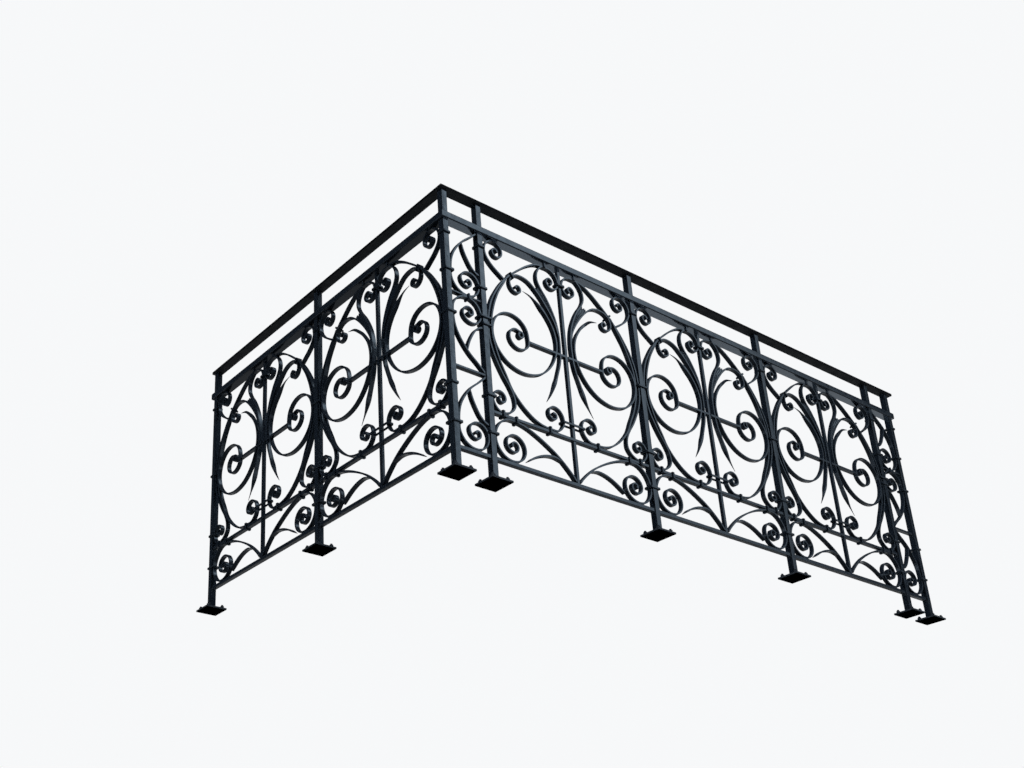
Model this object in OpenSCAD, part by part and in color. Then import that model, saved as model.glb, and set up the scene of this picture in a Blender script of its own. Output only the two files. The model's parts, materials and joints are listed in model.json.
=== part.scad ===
// Wrought-iron balcony railing that turns one outer corner.
// The front side runs along +X and the left side along +Y, both from the corner post.
// The origin is on the floor under the middle of the corner post, and +Z is up.

/* [Layout] */
// Spacing of the posts of a wide bay, middle to middle
bay_pitch = 695; // [600:5:900]
// Spacing of the posts of a narrow end panel, middle to middle
narrow_pitch = 140; // [120:2:200]

/* [Heights] */
// Height of the top of the handrail above the floor
rail_height = 1000; // [900:5:1100]
// Height of the open hand gap between the two upper rails
hand_gap = 88; // [70:2:120]
// Height of the top of the lower rail above the floor
lower_rail_z = 245; // [225:5:280]
// Height of the top of the bottom rail above the floor
bottom_rail_z = 90; // [80:1:110]
// Height of the middle cross bar of a narrow panel above the floor
cross_bar_z = 356; // [340:2:380]

/* [Rails] */
// Width of the handrail
hand_w = 35; // [30:1:50]
// Thickness of the handrail at its crown
hand_t = 12; // [9:1:16]
// Rise of the crown of the handrail over its edges
hand_crown = 1; // [0.5:0.5:3]
// Width of the second rail
mid_w = 35; // [30:1:50]
// Height of the second rail
mid_h = 25; // [20:1:32]
// Corner rounding of the second rail
mid_round = 3; // [2:0.5:5]
// Depth of the lower rail and the bottom rail, front to back
flat_depth = 16; // [14:1:20]
// Height of the lower rail
lower_rail_h = 10; // [8:1:14]
// Height of the bottom rail
bottom_rail_h = 12; // [8:1:16]
// How far the rails run on past the end posts
rail_overrun = 10; // [4:1:20]
// How far the handrail runs on past the front end post
hand_overrun = 28; // [10:1:40]

/* [Posts and bars] */
// Side of a square post
post_w = 22; // [20:1:30]
// Side of the thin square bar in the middle of a wide bay
centre_w = 12; // [10:1:16]
// Thickness of a scroll bar in the plane of the panel
bar_t = 6; // [5:0.5:8]
// Depth of a scroll bar, front to back
bar_depth = 16; // [12:1:20]

/* [Feet] */
// Side of a square foot plate
foot_w = 80; // [70:2:110]
// Thickness of a foot plate
foot_t = 6; // [5:1:10]
// Spacing of the anchor holes, middle to middle
hole_pitch = 56; // [48:1:80]
// Diameter of an anchor hole
hole_d = 9; // [7:0.5:12]

/* [Collars] */
// Thickness of the bar that a collar is bent from
collar_t = 4.5; // [3:0.5:6]
// Height of a collar, and width of a clip
collar_h = 7; // [5:0.5:9]
// Clearance between a collar and what it binds
collar_clear = 0.3; // [0.2:0.1:0.5]

/* [Hidden] */
// Wide bays on the front side and on the left side
front_bays = 3;
left_bays = 2;
// Clearance between a scroll bar and the post, bar or rail that it lies against
seat_gap = 0.3;
// Clearance around the middle bar where it passes through the lower rail
pass_gap = 0.2;

front_posts = [for (i = [0:front_bays]) narrow_pitch + i * bay_pitch];
front_end = 2 * narrow_pitch + front_bays * bay_pitch;
left_posts = [for (i = [1:1:left_bays - 1]) i * bay_pitch];
left_end = left_bays * bay_pitch;
// The posts that the wide bays start from
front_starts = [for (i = [0:front_bays - 1]) front_posts[i]];
left_starts = [for (i = [0:left_bays - 1]) i * bay_pitch];

hand_z = rail_height - hand_t;
mid_top = hand_z - hand_gap;
mid_z = mid_top - mid_h;
lower_z = lower_rail_z - lower_rail_h;
bottom_z = bottom_rail_z - bottom_rail_h;

iron = [0.10, 0.11, 0.13];
iron_rail = [0.05, 0.05, 0.06];
iron_collar = [0.07, 0.08, 0.09];

front_post_names = [for (i = [1:front_bays + 1]) str("front_post_", i)];
front_foot_names = [for (i = [1:front_bays + 1]) str("front_foot_", i)];
left_post_names = [for (i = [1:1:left_bays - 1]) str("left_post_", i)];
left_foot_names = [for (i = [1:1:left_bays - 1]) str("left_foot_", i)];

// Most that a straight step of a bar may stray from its curve
chord_error = 0.3;
// Half thickness left at the point of a tapered bar end
tip_half = 0.8;
// Radius of the snub at the inner end of a scroll
snub_r = 4.5;
// Length of the taper where a bar is drawn out and welded on to another
weld_taper = 20;

function unit(v) = v / norm(v);
function reversed(list) = [for (i = [len(list) - 1:-1:0]) list[i]];

// Points of a scroll round a centre, from angle a0: its radius is listed for each quarter turn
function scroll(centre, a0, turn, radii) =
    [for (i = [0:3 * (len(radii) - 1)])
        let (k = min(floor(i / 3), len(radii) - 2), a = a0 + turn * 30 * i)
        centre + radii[k] * pow(radii[k + 1] / radii[k], i / 3 - k) * [cos(a), sin(a)]];

// Direction of a curve at point i, each side weighted by how near its neighbour is
function heading(p, i) =
    i == 0 ? unit(p[1] - p[0])
    : i == len(p) - 1 ? unit(p[i] - p[i - 1])
    : let (a = norm(p[i] - p[i - 1]), b = norm(p[i + 1] - p[i]))
      ((p[i] - p[i - 1]) * b / a + (p[i + 1] - p[i]) * a / b) / (a + b);

// Straight steps from point i to the next one, more where the curve turns more
function steps(p, i, least) =
    let (turn = acos(min(1, unit(heading(p, i)) * unit(heading(p, i + 1)))) * PI / 180)
    max(least, ceil(sqrt(norm(p[i + 1] - p[i]) * turn / (8 * chord_error))));

// Smooth curve through the points of a bar, as short straight steps
function smooth(p, least = 1) = concat(
    [for (i = [0:len(p) - 2])
        let (n = steps(p, i, least), d = norm(p[i + 1] - p[i]))
        for (k = [0:n - 1])
            let (t = k / n)
            p[i] * (2 * t * t * t - 3 * t * t + 1)
            + heading(p, i) * d * (t * t * t - 2 * t * t + t)
            + p[i + 1] * (3 * t * t - 2 * t * t * t)
            + heading(p, i + 1) * d * (t * t * t - t * t)],
    [p[len(p) - 1]]
);

// Distance run along a line up to each of its points
function run_lengths(p, i = 1, sums = [0]) =
    i == len(p) ? sums : run_lengths(p, i + 1, concat(sums, [sums[i - 1] + norm(p[i] - p[i - 1])]));

// Half thickness at a distance from an end that is drawn to a point, swollen to a leaf or not
function end_half(s, taper, swell) =
    taper == 0 ? bar_t / 2
    : let (t = min(1, s / taper))
      tip_half + (bar_t / 2 - tip_half) * t + swell * sin(180 * t);

// Flat outline of one bar, drawn to a point over the given lengths at its start and end
module bar(line, start_taper = 0, end_taper = 0, start_swell = 0, end_swell = 0) {
    run = run_lengths(line);
    total = run[len(run) - 1];
    side = [for (i = [0:len(line) - 1])
        let (
            h = unit(heading(line, i)),
            half = min(
                end_half(run[i], start_taper, start_swell),
                end_half(total - run[i], end_taper, end_swell)
            )
        )
        half * [-h.y, h.x]];
    polygon(concat(
        [for (i = [0:len(line) - 1]) line[i] + side[i]],
        reversed([for (i = [0:len(line) - 1]) line[i] - side[i]])
    ));
}

// The rolled snub at the inner end of a scroll
module snub(point) {
    translate(point)
        circle(r = snub_r, $fn = 48);
}

// A bar whose last point carries a snub
module scroll_bar(line, start_taper = 0) {
    bar(line, start_taper);
    snub(line[len(line) - 1]);
}

// Corners of the rectangle that just holds the lines
function extent(lines) =
    let (x = [for (l = lines, p = l) p.x], y = [for (l = lines, p = l) p.y])
    [[min(x), min(y)], [max(x), max(y)]];

// A line of a drawing, moved and stretched from the drawing's rectangle to the real one
function placed(line, box, origin, size) =
    let (span = box[1] - box[0])
    [for (p = line)
        origin + [(p.x - box[0].x) * size.x / span.x, (p.y - box[0].y) * size.y / span.y]];

// Point of a line that lies furthest in a direction
leftward = [-1, 0];
rightward = [1, 0];
upward = [0, 1];
downward = [0, -1];
function furthest(line, way) =
    let (reach = [for (p = line) p * way], most = max(reach))
    [for (i = [0:len(line) - 1]) if (reach[i] == most) line[i]][0];

// Half of a wide bay, from the post to the middle bar: the curl at the top of the post
post_curl_line = smooth(concat(
    [[79, 490], [58, 504], [38, 518], [22, 533], [11, 548]],
    scroll([52, 582], 200, -1, [50, 37.5, 28, 21, 15.5, 10, 7])
));
// The long bar that starts in the low curl, follows the post and ends in the top volute
long_bar_line = smooth(concat(
    reversed(scroll([33, 45], 226, -1, [39, 27.8, 19.8, 14, 9.5, 7])),
    [[24, 0], [50, 0], [72, 11], [88, 32], [88, 60], [74, 92], [50, 127], [30, 162], [12, 202], [2, 240]],
    [[0, 280], [6, 342], [22, 394], [44, 434], [68, 470], [96, 502], [152, 552], [192, 582], [232, 602]],
    scroll([288, 556], 114, -1, [54, 38.2, 27, 19, 13, 9, 7])
));
// The inner oval that ends in the volute beside the middle bar
oval_bar_line = smooth(concat(
    [[102, 515], [76, 470], [56, 438], [36, 394], [24, 358], [16, 322], [14, 282], [16, 252], [24, 220]],
    [[40, 174], [60, 134], [80, 92], [104, 62], [144, 27], [176, 9], [216, 0], [241, 0]],
    scroll([252, 53], 280, 1, [53, 39, 29, 20.5, 13.5, 9, 7])
));
// The bar that hangs from the top volute beside the middle bar and ends in a leaf point
leaf_bar_line = smooth([
    [258, 606], [244, 594], [230, 570], [228, 542], [238, 518], [261, 486], [281, 450], [297, 410],
    [306, 362], [306, 302], [302, 262], [287, 214], [272, 174], [250, 128], [230, 96]
], 2);
// The crook that leaves the leaf bar and curls in at the shoulder
crook_line = smooth(concat(
    [[304, 352], [297, 386], [279, 422], [251, 462], [218, 498], [186, 521]],
    scroll([137, 476], 68, 1, [55, 35, 20, 13.5, 9.5, 7])
));
// The great snail scroll in the middle, with its leaf tail and its inner eye
snail_turn = scroll([120, 288], -22, -1, [48, 37, 32, 28]);
snail_line = smooth(concat(
    [[166, 478], [196, 470], [226, 448], [258, 414], [282, 374]],
    scroll([112, 296], 8, -1, [182, 131, 96, 71, 56]),
    snail_turn,
    scroll([134, 301], 40, -1, [13.5, 10, 8, 7])
), 2);

wide_lines = [post_curl_line, long_bar_line, oval_bar_line, leaf_bar_line, crook_line, snail_line];
wide_box = extent(wide_lines);
wide_origin = [post_w / 2 + seat_gap + bar_t / 2, lower_rail_z + seat_gap + bar_t / 2];
wide_size = [
    bay_pitch / 2 - centre_w / 2 - post_w / 2 - 2 * seat_gap - bar_t,
    mid_z - lower_rail_z - 2 * seat_gap - bar_t
];
function wide(line) = placed(line, wide_box, wide_origin, wide_size);

// The web between the crook and the leaf bar, up to its ragged point, taken from their lines
web_line = concat(
    [[304, 352], [297, 386], [279, 422], [251, 462], [222, 494]],
    [[219, 508], [226, 513], [229, 523], [238, 518], [261, 486], [281, 450], [297, 410], [306, 362]]
);

// Depths of a leaf blade and of the web
leaf_depth = 5;
web_depth = bar_depth - 3;
// Length of a leaf, how far its ridge stops short of the point, and how much its blade swells
leaf_run = 110;
ridge_back = 35;
leaf_swell = 3.5;

// The last part of a line, from a given distance along it
function after(line, run) =
    let (s = run_lengths(line))
    [for (i = [0:len(line) - 1]) if (s[i] >= run) line[i]];
// The first part of a line, up to a given distance before its end
function before(line, run) = reversed(after(reversed(line), run));

// A flat drawing made solid, upright, with its depth centred on the plane of the posts
module upright(depth) {
    rotate([90, 0, 0])
        translate([0, 0, -depth / 2])
            linear_extrude(depth)
                children();
}

// A bar that starts in a leaf: a thin swollen blade with the bar as a ridge on it
module leaf_end(line) {
    upright(leaf_depth)
        bar(before(line, run_lengths(line)[len(line) - 1] - leaf_run), leaf_run, 0, leaf_swell);
    upright(bar_depth)
        bar(after(line, ridge_back), leaf_run - ridge_back, 0);
}

// The collar that binds the long bar, the oval bar and the crook at the shoulder
shoulder = oval_bar_line[0] + [12, -1];
shoulder_turn = 42;
shoulder_reach = 2 * bar_t;

// The tie from the snail to the middle bar, and the clip from the top volute to the second rail
tie_start = snail_turn[0] + [5.5, 17];
tie_t = 9;
clip_start = furthest(long_bar_line, upward) - [14, 4];
clip_depth = 10;

module half_scrolls() {
    snail = wide(snail_line);
    leaf = reversed(wide(leaf_bar_line));
    reach = bay_pitch / 2 - centre_w / 2 - seat_gap;
    tie = wide([tie_start])[0];
    hanger = wide([clip_start])[0];
    bound = wide([shoulder])[0];
    upright(bar_depth) {
        scroll_bar(wide(post_curl_line));
        scroll_bar(wide(long_bar_line));
        snub(wide(long_bar_line)[0]);
        scroll_bar(wide(oval_bar_line), weld_taper);
        scroll_bar(wide(crook_line), weld_taper);
        snub(snail[len(snail) - 1]);
        translate([tie.x, tie.y - tie_t / 2])
            square([reach - tie.x, tie_t]);
    }
    leaf_end(snail);
    leaf_end(leaf);
    upright(web_depth)
        polygon(wide(web_line));
    upright(bar_depth + 2 * collar_t)
        translate(bound)
            rotate(shoulder_turn)
                square([collar_h, 2 * shoulder_reach], center = true);
    translate([hanger.x - collar_h / 2, -bar_depth / 2 - collar_t, hanger.y])
        cube([collar_h, clip_depth, mid_z - seat_gap - hanger.y]);
}

// Both halves of a bay, mirrored on the middle bar
module both_halves() {
    children();
    translate([bay_pitch, 0, 0])
        mirror([1, 0, 0])
            children();
}

module wide_scrolls() {
    color(iron)
        both_halves()
            half_scrolls();
}

// Half of the band below the lower rail, from the post to the middle bar
band_main_line = smooth(concat(
    [[323, 20], [313, 33], [298, 49], [280, 66], [252, 89], [216, 112], [176, 133], [136, 149], [96, 157]],
    scroll([78, 73], 105, 1, [85, 67, 52.5, 43, 34.2, 27.3, 21.7, 14.5, 10, 7.5])
));
band_branch_line = smooth([
    [268, 73], [244, 80], [216, 78], [184, 68], [154, 52], [130, 35]
]);
band_box = extent([band_main_line]);
band_origin = [wide_origin.x, bottom_rail_z + seat_gap + bar_t / 2];
band_size = [wide_size.x, lower_z - bottom_rail_z - 2 * seat_gap - bar_t];
function band(line) = placed(line, band_box, band_origin, band_size);

module band_scrolls() {
    color(iron)
        both_halves()
            upright(bar_depth) {
                scroll_bar(band(band_main_line));
                bar(band(band_branch_line), weld_taper, weld_taper / 2);
            }
}

// Unit of a narrow panel, from the post at the belly of its arc to the post that the arc runs up to
// The arc is drawn on past the corner of its field, and the volute fills the width of the field
arc_over = 8;
narrow_volute = scroll([70, 58], 160, 1, [70, 54, 41, 37.5, 30.5, 18.5, 11, 9, 7]);
narrow_arc_line = smooth(concat(
    [[112, 256] + [arc_over, arc_over], [90, 234], [58, 206], [30, 170], [12, 134]],
    narrow_volute
));
narrow_branch_line = smooth([[50, 200], [56, 174], [70, 142], [86, 116], [102, 102], [122, 96]]);
narrow_box = [
    extent([narrow_arc_line])[0],
    [extent([smooth(narrow_volute)])[1].x, narrow_arc_line[0].y - arc_over]
];
narrow_x = post_w / 2 + seat_gap + bar_t / 2;
narrow_width = narrow_pitch - post_w - 2 * seat_gap - bar_t;
// The cross bar, the thin bar between the two upper units and the strap over it
cross_t = 8;
cross_low = cross_bar_z - cross_t / 2;
cross_high = cross_bar_z + cross_t / 2;
upper_mid = (mid_z + cross_high) / 2;
strap_x = furthest(narrow_volute, downward).x + 6;

function narrow(line, low, height) = placed(
    line, narrow_box, [narrow_x, low + seat_gap + bar_t / 2],
    [narrow_width, height - 2 * seat_gap - bar_t]
);

module narrow_unit(low, height) {
    intersection() {
        translate([post_w / 2 + seat_gap, low + seat_gap])
            square([narrow_width + bar_t, height - 2 * seat_gap]);
        union() {
            scroll_bar(narrow(narrow_arc_line, low, height));
            bar(narrow(narrow_branch_line, low, height), weld_taper);
        }
    }
}

module narrow_panel() {
    clear = narrow_pitch - post_w;
    strap = narrow([[strap_x, narrow_box[0].y]], upper_mid, mid_z - upper_mid)[0];
    rise = strap.y + bar_t / 2 + collar_t - upper_mid;
    color(iron) {
        upright(bar_depth) {
            translate([post_w / 2, cross_low])
                square([clear, cross_t]);
            translate([post_w / 2, upper_mid - bar_t / 2])
                square([clear, bar_t]);
            narrow_unit(upper_mid, mid_z - upper_mid);
            translate([0, 2 * upper_mid])
                mirror([0, 1])
                    narrow_unit(upper_mid, mid_z - upper_mid);
            narrow_unit(bottom_rail_z, cross_low - bottom_rail_z);
        }
        translate([strap.x - collar_h / 2, -bar_depth / 2 - collar_t, upper_mid - rise])
            cube([collar_h, bar_depth + 2 * collar_t, 2 * rise]);
    }
}

// A post: the shaft up to the second rail and the stub between the rails
module post() {
    color(iron) {
        translate([-post_w / 2, -post_w / 2, foot_t])
            cube([post_w, post_w, mid_z - foot_t]);
        translate([-post_w / 2, -post_w / 2, mid_top])
            cube([post_w, post_w, hand_gap]);
    }
}

// A foot plate with four anchor holes
module foot() {
    color(iron)
        difference() {
            translate([-foot_w / 2, -foot_w / 2, 0])
                cube([foot_w, foot_w, foot_t]);
            for (x = [-1, 1], y = [-1, 1])
                translate([x * hole_pitch / 2, y * hole_pitch / 2, -1])
                    cylinder(d = hole_d, h = foot_t + 2, $fn = 32);
        }
}

// Points of a round corner
function corner(centre, r, a0) = [for (a = [0:30:90]) centre + r * [cos(a0 + a), sin(a0 + a)]];

module mid_profile() {
    w = mid_w / 2 - mid_round;
    h = mid_h / 2 - mid_round;
    translate([0, mid_h / 2])
        polygon(concat(
            corner([w, h], mid_round, 0), corner([-w, h], mid_round, 90),
            corner([-w, -h], mid_round, 180), corner([w, -h], mid_round, 270)
        ));
}

module hand_profile() {
    edge = hand_t - hand_crown;
    r = (hand_w * hand_w / 4 + hand_crown * hand_crown) / (2 * hand_crown);
    translate([-hand_w / 2, 0])
        square([hand_w, edge]);
    intersection() {
        translate([0, hand_t - r])
            circle(r = r, $fn = 360);
        translate([-hand_w / 2, edge])
            square([hand_w, hand_crown]);
    }
}

// A profile carried along +X from the mitre at the corner to the given length
module mitred(length, width) {
    difference() {
        rotate([90, 0, 90])
            translate([0, 0, -width / 2])
                linear_extrude(length + width / 2)
                    children();
        translate([0, 0, -1])
            linear_extrude(rail_height)
                polygon([[-width, -width], [width, width], [-width, width]]);
    }
}

// The same piece on the left side, as the mirror image on the diagonal of the corner
module on_left() {
    mirror([1, -1, 0])
        children();
}

module handrail(length, overrun) {
    color(iron_rail)
        translate([0, 0, hand_z])
            mitred(length + post_w / 2 + overrun, hand_w)
                hand_profile();
}

module mid_rail(length) {
    color(iron)
        translate([0, 0, mid_z])
            mitred(length + post_w / 2 + rail_overrun, mid_w)
                mid_profile();
}

// Flat bars between the faces of neighbouring posts
module flat_rail(x, pitch, low, height) {
    translate([x + post_w / 2, -flat_depth / 2, low])
        cube([pitch - post_w, flat_depth, height]);
}

module lower_rails(starts) {
    hole = centre_w + 2 * pass_gap;
    color(iron)
        for (x = starts)
            difference() {
                flat_rail(x, bay_pitch, lower_z, lower_rail_h);
                translate([x + bay_pitch / 2 - hole / 2, -hole / 2, lower_z - 1])
                    cube([hole, hole, lower_rail_h + 2]);
            }
}

module bottom_rails(starts) {
    color(iron)
        for (x = starts)
            flat_rail(x, bay_pitch, bottom_z, bottom_rail_h);
}

module narrow_bottom_rails() {
    color(iron)
        for (x = [0, front_end - narrow_pitch])
            flat_rail(x, narrow_pitch, bottom_z, bottom_rail_h);
}

module centre_bar() {
    color(iron)
        translate([bay_pitch / 2 - centre_w / 2, -centre_w / 2, bottom_rail_z])
            cube([centre_w, centre_w, mid_z - bottom_rail_z]);
}

// A collar round a post, or round a middle bar, and the bars that it binds to it
module collar(z, left, right, front, back) {
    low = [-left - collar_clear, -front - collar_clear];
    high = [right + collar_clear, back + collar_clear];
    wall = [collar_t, collar_t];
    translate([0, 0, z - collar_h / 2])
        linear_extrude(collar_h)
            difference() {
                translate(low - wall)
                    square(high - low + 2 * wall);
                translate(low)
                    square(high - low);
            }
}

// Where lines cross a height
function crossings(lines, z) =
    [for (l = lines, i = [1:len(l) - 1])
        let (a = l[i - 1], b = l[i])
        if ((a.y - z) * (b.y - z) <= 0 && a.y != b.y)
            a.x + (b.x - a.x) * (z - a.y) / (b.y - a.y)];

// How far out from a post the bars that lie against it, or against each other, reach at a height
hold = 5;
slack = 1.2;
function chain(xs, reach) =
    let (next = [for (x = xs) if (x > reach && x - bar_t / 2 - reach < hold) x + bar_t / 2])
    len(next) == 0 ? reach : chain(xs, max(next));
function reach_at(lines, z) =
    let (r = chain(crossings(lines, z), post_w / 2))
    r > post_w / 2 ? r + slack : r;

// The lines beside a post on its wide side, and on the two sides of a narrow panel
wide_side = concat([for (l = wide_lines) wide(l)], [band(band_main_line)]);
narrow_upper = narrow(narrow_arc_line, upper_mid, mid_z - upper_mid);
narrow_down = [for (p = narrow_upper) [p.x, 2 * upper_mid - p.y]];
narrow_foot = narrow(narrow_arc_line, bottom_rail_z, cross_low - bottom_rail_z);
belly_side = [narrow_upper, narrow_down, narrow_foot];
volute_side = [for (l = belly_side) [for (p = l) [narrow_pitch - p.x, p.y]]];

// Heights in the drawings where the bars are bound to a post: near where each comes closest to it
top_curl_y = furthest(post_curl_line, leftward).y;
belly_y = furthest(oval_bar_line, leftward).y + 5;
low_curl_y = furthest(long_bar_line, leftward).y + 6.5;
band_belly_y = furthest(band_main_line, leftward).y + 10.5;
narrow_volute_y = furthest(narrow_volute, rightward).y - 2;
narrow_belly_y = furthest(narrow_arc_line, leftward).y + 6;
// Heights in the drawing where the top volutes and the low volutes are bound to the middle bar
top_volute_y = furthest(long_bar_line, rightward).y - 7;
low_volute_y = furthest(oval_bar_line, rightward).y - 5.5;
// Places along the drawings where clips bind the long bar, the oval bar and the band to the lower rail
long_clip_x = furthest(long_bar_line, downward).x + 4;
oval_clip_x = furthest(oval_bar_line, downward).x;
band_clip_x = furthest(band_main_line, upward).x + 11.5;

function wide_z(y) = wide([[0, y]])[0].y;
wide_z_list = [wide_z(top_curl_y), wide_z(belly_y), wide_z(low_curl_y), band([[0, band_belly_y]])[0].y];
function narrow_z_list(y) =
    let (up = narrow([[0, y]], upper_mid, mid_z - upper_mid)[0].y)
    [up, 2 * upper_mid - up, narrow([[0, y]], bottom_rail_z, cross_low - bottom_rail_z)[0].y];

// The collars of one post: the bars on its left, on its right and, at the corner, behind it
module post_collars(heights, left, right, behind = []) {
    for (z = heights)
        collar(
            z, reach_at(left, z), reach_at(right, z), post_w / 2,
            reach_at(behind, z)
        );
}

// How far out from the middle bar the volute on each side of it reaches at a height
function middle_reach(z) =
    bay_pitch / 2 - max(crossings([for (l = wide_lines) wide(l)], z)) + bar_t / 2 + slack;

// The collars that bind the top volutes and the low volutes to the middle bar
module middle_collars() {
    for (z = [wide_z(top_volute_y), wide_z(low_volute_y)])
        translate([bay_pitch / 2, 0, 0])
            collar(z, middle_reach(z), middle_reach(z), bar_depth / 2, bar_depth / 2);
}

// Where a line crosses an upright at x
function levels(line, x) =
    [for (i = [1:len(line) - 1])
        let (a = line[i - 1], b = line[i])
        if ((a.x - x) * (b.x - x) <= 0 && a.x != b.x)
            a.y + (b.y - a.y) * (x - a.x) / (b.x - a.x)];

// A clip: a collar on its side round the lower rail and a scroll bar that lies against it
module clip(x, low, high) {
    half = max(flat_depth, bar_depth) / 2 + collar_clear;
    span = high - low + 2 * collar_clear;
    translate([x - collar_h / 2, 0, 0])
        rotate([90, 0, 90])
            linear_extrude(collar_h)
                difference() {
                    translate([-half - collar_t, low - collar_clear - collar_t])
                        square([2 * (half + collar_t), span + 2 * collar_t]);
                    translate([-half, low - collar_clear])
                        square([2 * half, span]);
                }
}

module half_clips() {
    for (l = [[long_bar_line, long_clip_x], [oval_bar_line, oval_clip_x]]) {
        x = wide([[l[1], 0]])[0].x;
        clip(x, lower_z, min(levels(wide(l[0]), x)) + bar_t / 2 + slack / 2);
    }
    x = band([[band_clip_x, 0]])[0].x;
    clip(x, max(levels(band(band_main_line), x)) - bar_t / 2 - slack / 2, lower_rail_z);
}

module bay_collars() {
    middle_collars();
    both_halves()
        half_clips();
}

module collars_front() {
    volutes = narrow_z_list(narrow_volute_y);
    near_panel = concat(wide_z_list, [volutes[0], volutes[1]]);
    at_end = concat([wide_z_list[0], wide_z_list[2]], narrow_z_list(narrow_belly_y));
    color(iron_collar) {
        for (x = front_starts)
            translate([x, 0, 0])
                bay_collars();
        for (i = [1:front_bays - 1])
            translate([front_posts[i], 0, 0])
                post_collars(wide_z_list, wide_side, wide_side);
        translate([front_posts[0], 0, 0])
            post_collars(near_panel, volute_side, wide_side);
        translate([front_posts[front_bays], 0, 0])
            post_collars(near_panel, wide_side, volute_side);
        translate([front_end, 0, 0])
            post_collars(at_end, belly_side, []);
    }
}

module collars_left() {
    color(iron_collar)
        on_left() {
            for (x = left_starts)
                translate([x, 0, 0])
                    bay_collars();
            for (x = left_posts)
                translate([x, 0, 0])
                    post_collars(wide_z_list, wide_side, wide_side);
            translate([left_end, 0, 0])
                post_collars(wide_z_list, wide_side, []);
        }
}

module collars_corner() {
    color(iron_collar)
        post_collars(concat(wide_z_list, [narrow_z_list(narrow_belly_y)[0]]), [], belly_side, wide_side);
}

post();  // corner_post
translate([front_end, 0, 0]) post();  // front_end_post
translate([0, left_end, 0]) post();  // left_end_post
for (i = [0:front_bays])
    translate([front_posts[i], 0, 0]) post();
for (i = [0:1:left_bays - 2])
    translate([0, left_posts[i], 0]) post();
foot();  // corner_foot
translate([front_end, 0, 0]) foot();  // front_end_foot
translate([0, left_end, 0]) foot();  // left_end_foot
for (i = [0:front_bays])
    translate([front_posts[i], 0, 0]) foot();
for (i = [0:1:left_bays - 2])
    translate([0, left_posts[i], 0]) foot();
handrail(front_end, hand_overrun);  // handrail_front
on_left() handrail(left_end, rail_overrun);  // handrail_left
mid_rail(front_end);  // mid_rail_front
on_left() mid_rail(left_end);  // mid_rail_left
lower_rails(front_starts);  // lower_rail_front
on_left() lower_rails(left_starts);  // lower_rail_left
union() {  // bottom_rail_front
    bottom_rails(front_starts);
    narrow_bottom_rails();
}
on_left() bottom_rails(left_starts);  // bottom_rail_left
for (i = [0:front_bays - 1]) {
    translate([front_starts[i], 0, 0]) centre_bar();
    translate([front_starts[i], 0, 0]) wide_scrolls();
    translate([front_starts[i], 0, 0]) band_scrolls();
}
for (i = [0:left_bays - 1]) {
    on_left() translate([left_starts[i], 0, 0]) centre_bar();
    on_left() translate([left_starts[i], 0, 0]) wide_scrolls();
    on_left() translate([left_starts[i], 0, 0]) band_scrolls();
}
narrow_panel();  // corner_panel
translate([front_end, 0, 0]) mirror([1, 0, 0]) narrow_panel();  // end_panel
collars_front();
collars_left();
collars_corner();
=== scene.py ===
"""Looks of a wrought-iron corner balcony railing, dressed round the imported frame.

Shapes are worked out in millimetres and put into their meshes in metres, in the frame of the
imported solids: the origin is on the floor under the middle of the corner post, +X runs along the
front side and +Y along the left side. The left side is the mirror image of a front side on the
diagonal of the corner.
"""

import json
import logging
import math
from collections.abc import Sequence
from dataclasses import dataclass, field
from enum import Enum

import bpy
import numpy as np
from mathutils import Matrix, Vector


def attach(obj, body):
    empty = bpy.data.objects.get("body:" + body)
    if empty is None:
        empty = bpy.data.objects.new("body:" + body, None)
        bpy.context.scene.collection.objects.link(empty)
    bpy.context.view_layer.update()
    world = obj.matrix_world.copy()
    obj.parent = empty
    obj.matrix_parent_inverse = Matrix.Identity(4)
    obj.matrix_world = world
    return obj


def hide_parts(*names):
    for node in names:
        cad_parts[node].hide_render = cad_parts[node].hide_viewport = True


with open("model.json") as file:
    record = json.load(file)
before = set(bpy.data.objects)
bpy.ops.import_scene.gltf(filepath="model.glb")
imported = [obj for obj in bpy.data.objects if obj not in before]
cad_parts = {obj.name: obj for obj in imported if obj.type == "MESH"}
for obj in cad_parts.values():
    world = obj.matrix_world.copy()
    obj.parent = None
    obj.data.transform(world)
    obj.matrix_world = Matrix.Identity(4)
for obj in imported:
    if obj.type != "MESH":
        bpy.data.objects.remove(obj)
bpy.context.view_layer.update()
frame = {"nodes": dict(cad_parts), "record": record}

LOG = logging.getLogger("railing")
MM = 0.001
Array = np.ndarray
Pair = tuple[float, float]
Triple = tuple[float, float, float]
Colour = Triple

# Painted shade on faces that look down: how fast it deepens as they turn down, and the share that stays
# unshaded
DOWN_GAIN = 3.0
DOWN_UNSHADED = 0.2
# Painted shade on straight bars: how fast it deepens as an arris turns from the axes, and what the
# underside's is divided by
ARRIS_GAIN = 24.0
UNDERSIDE_THIN = 3.0
TINY = 1e-9


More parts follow.
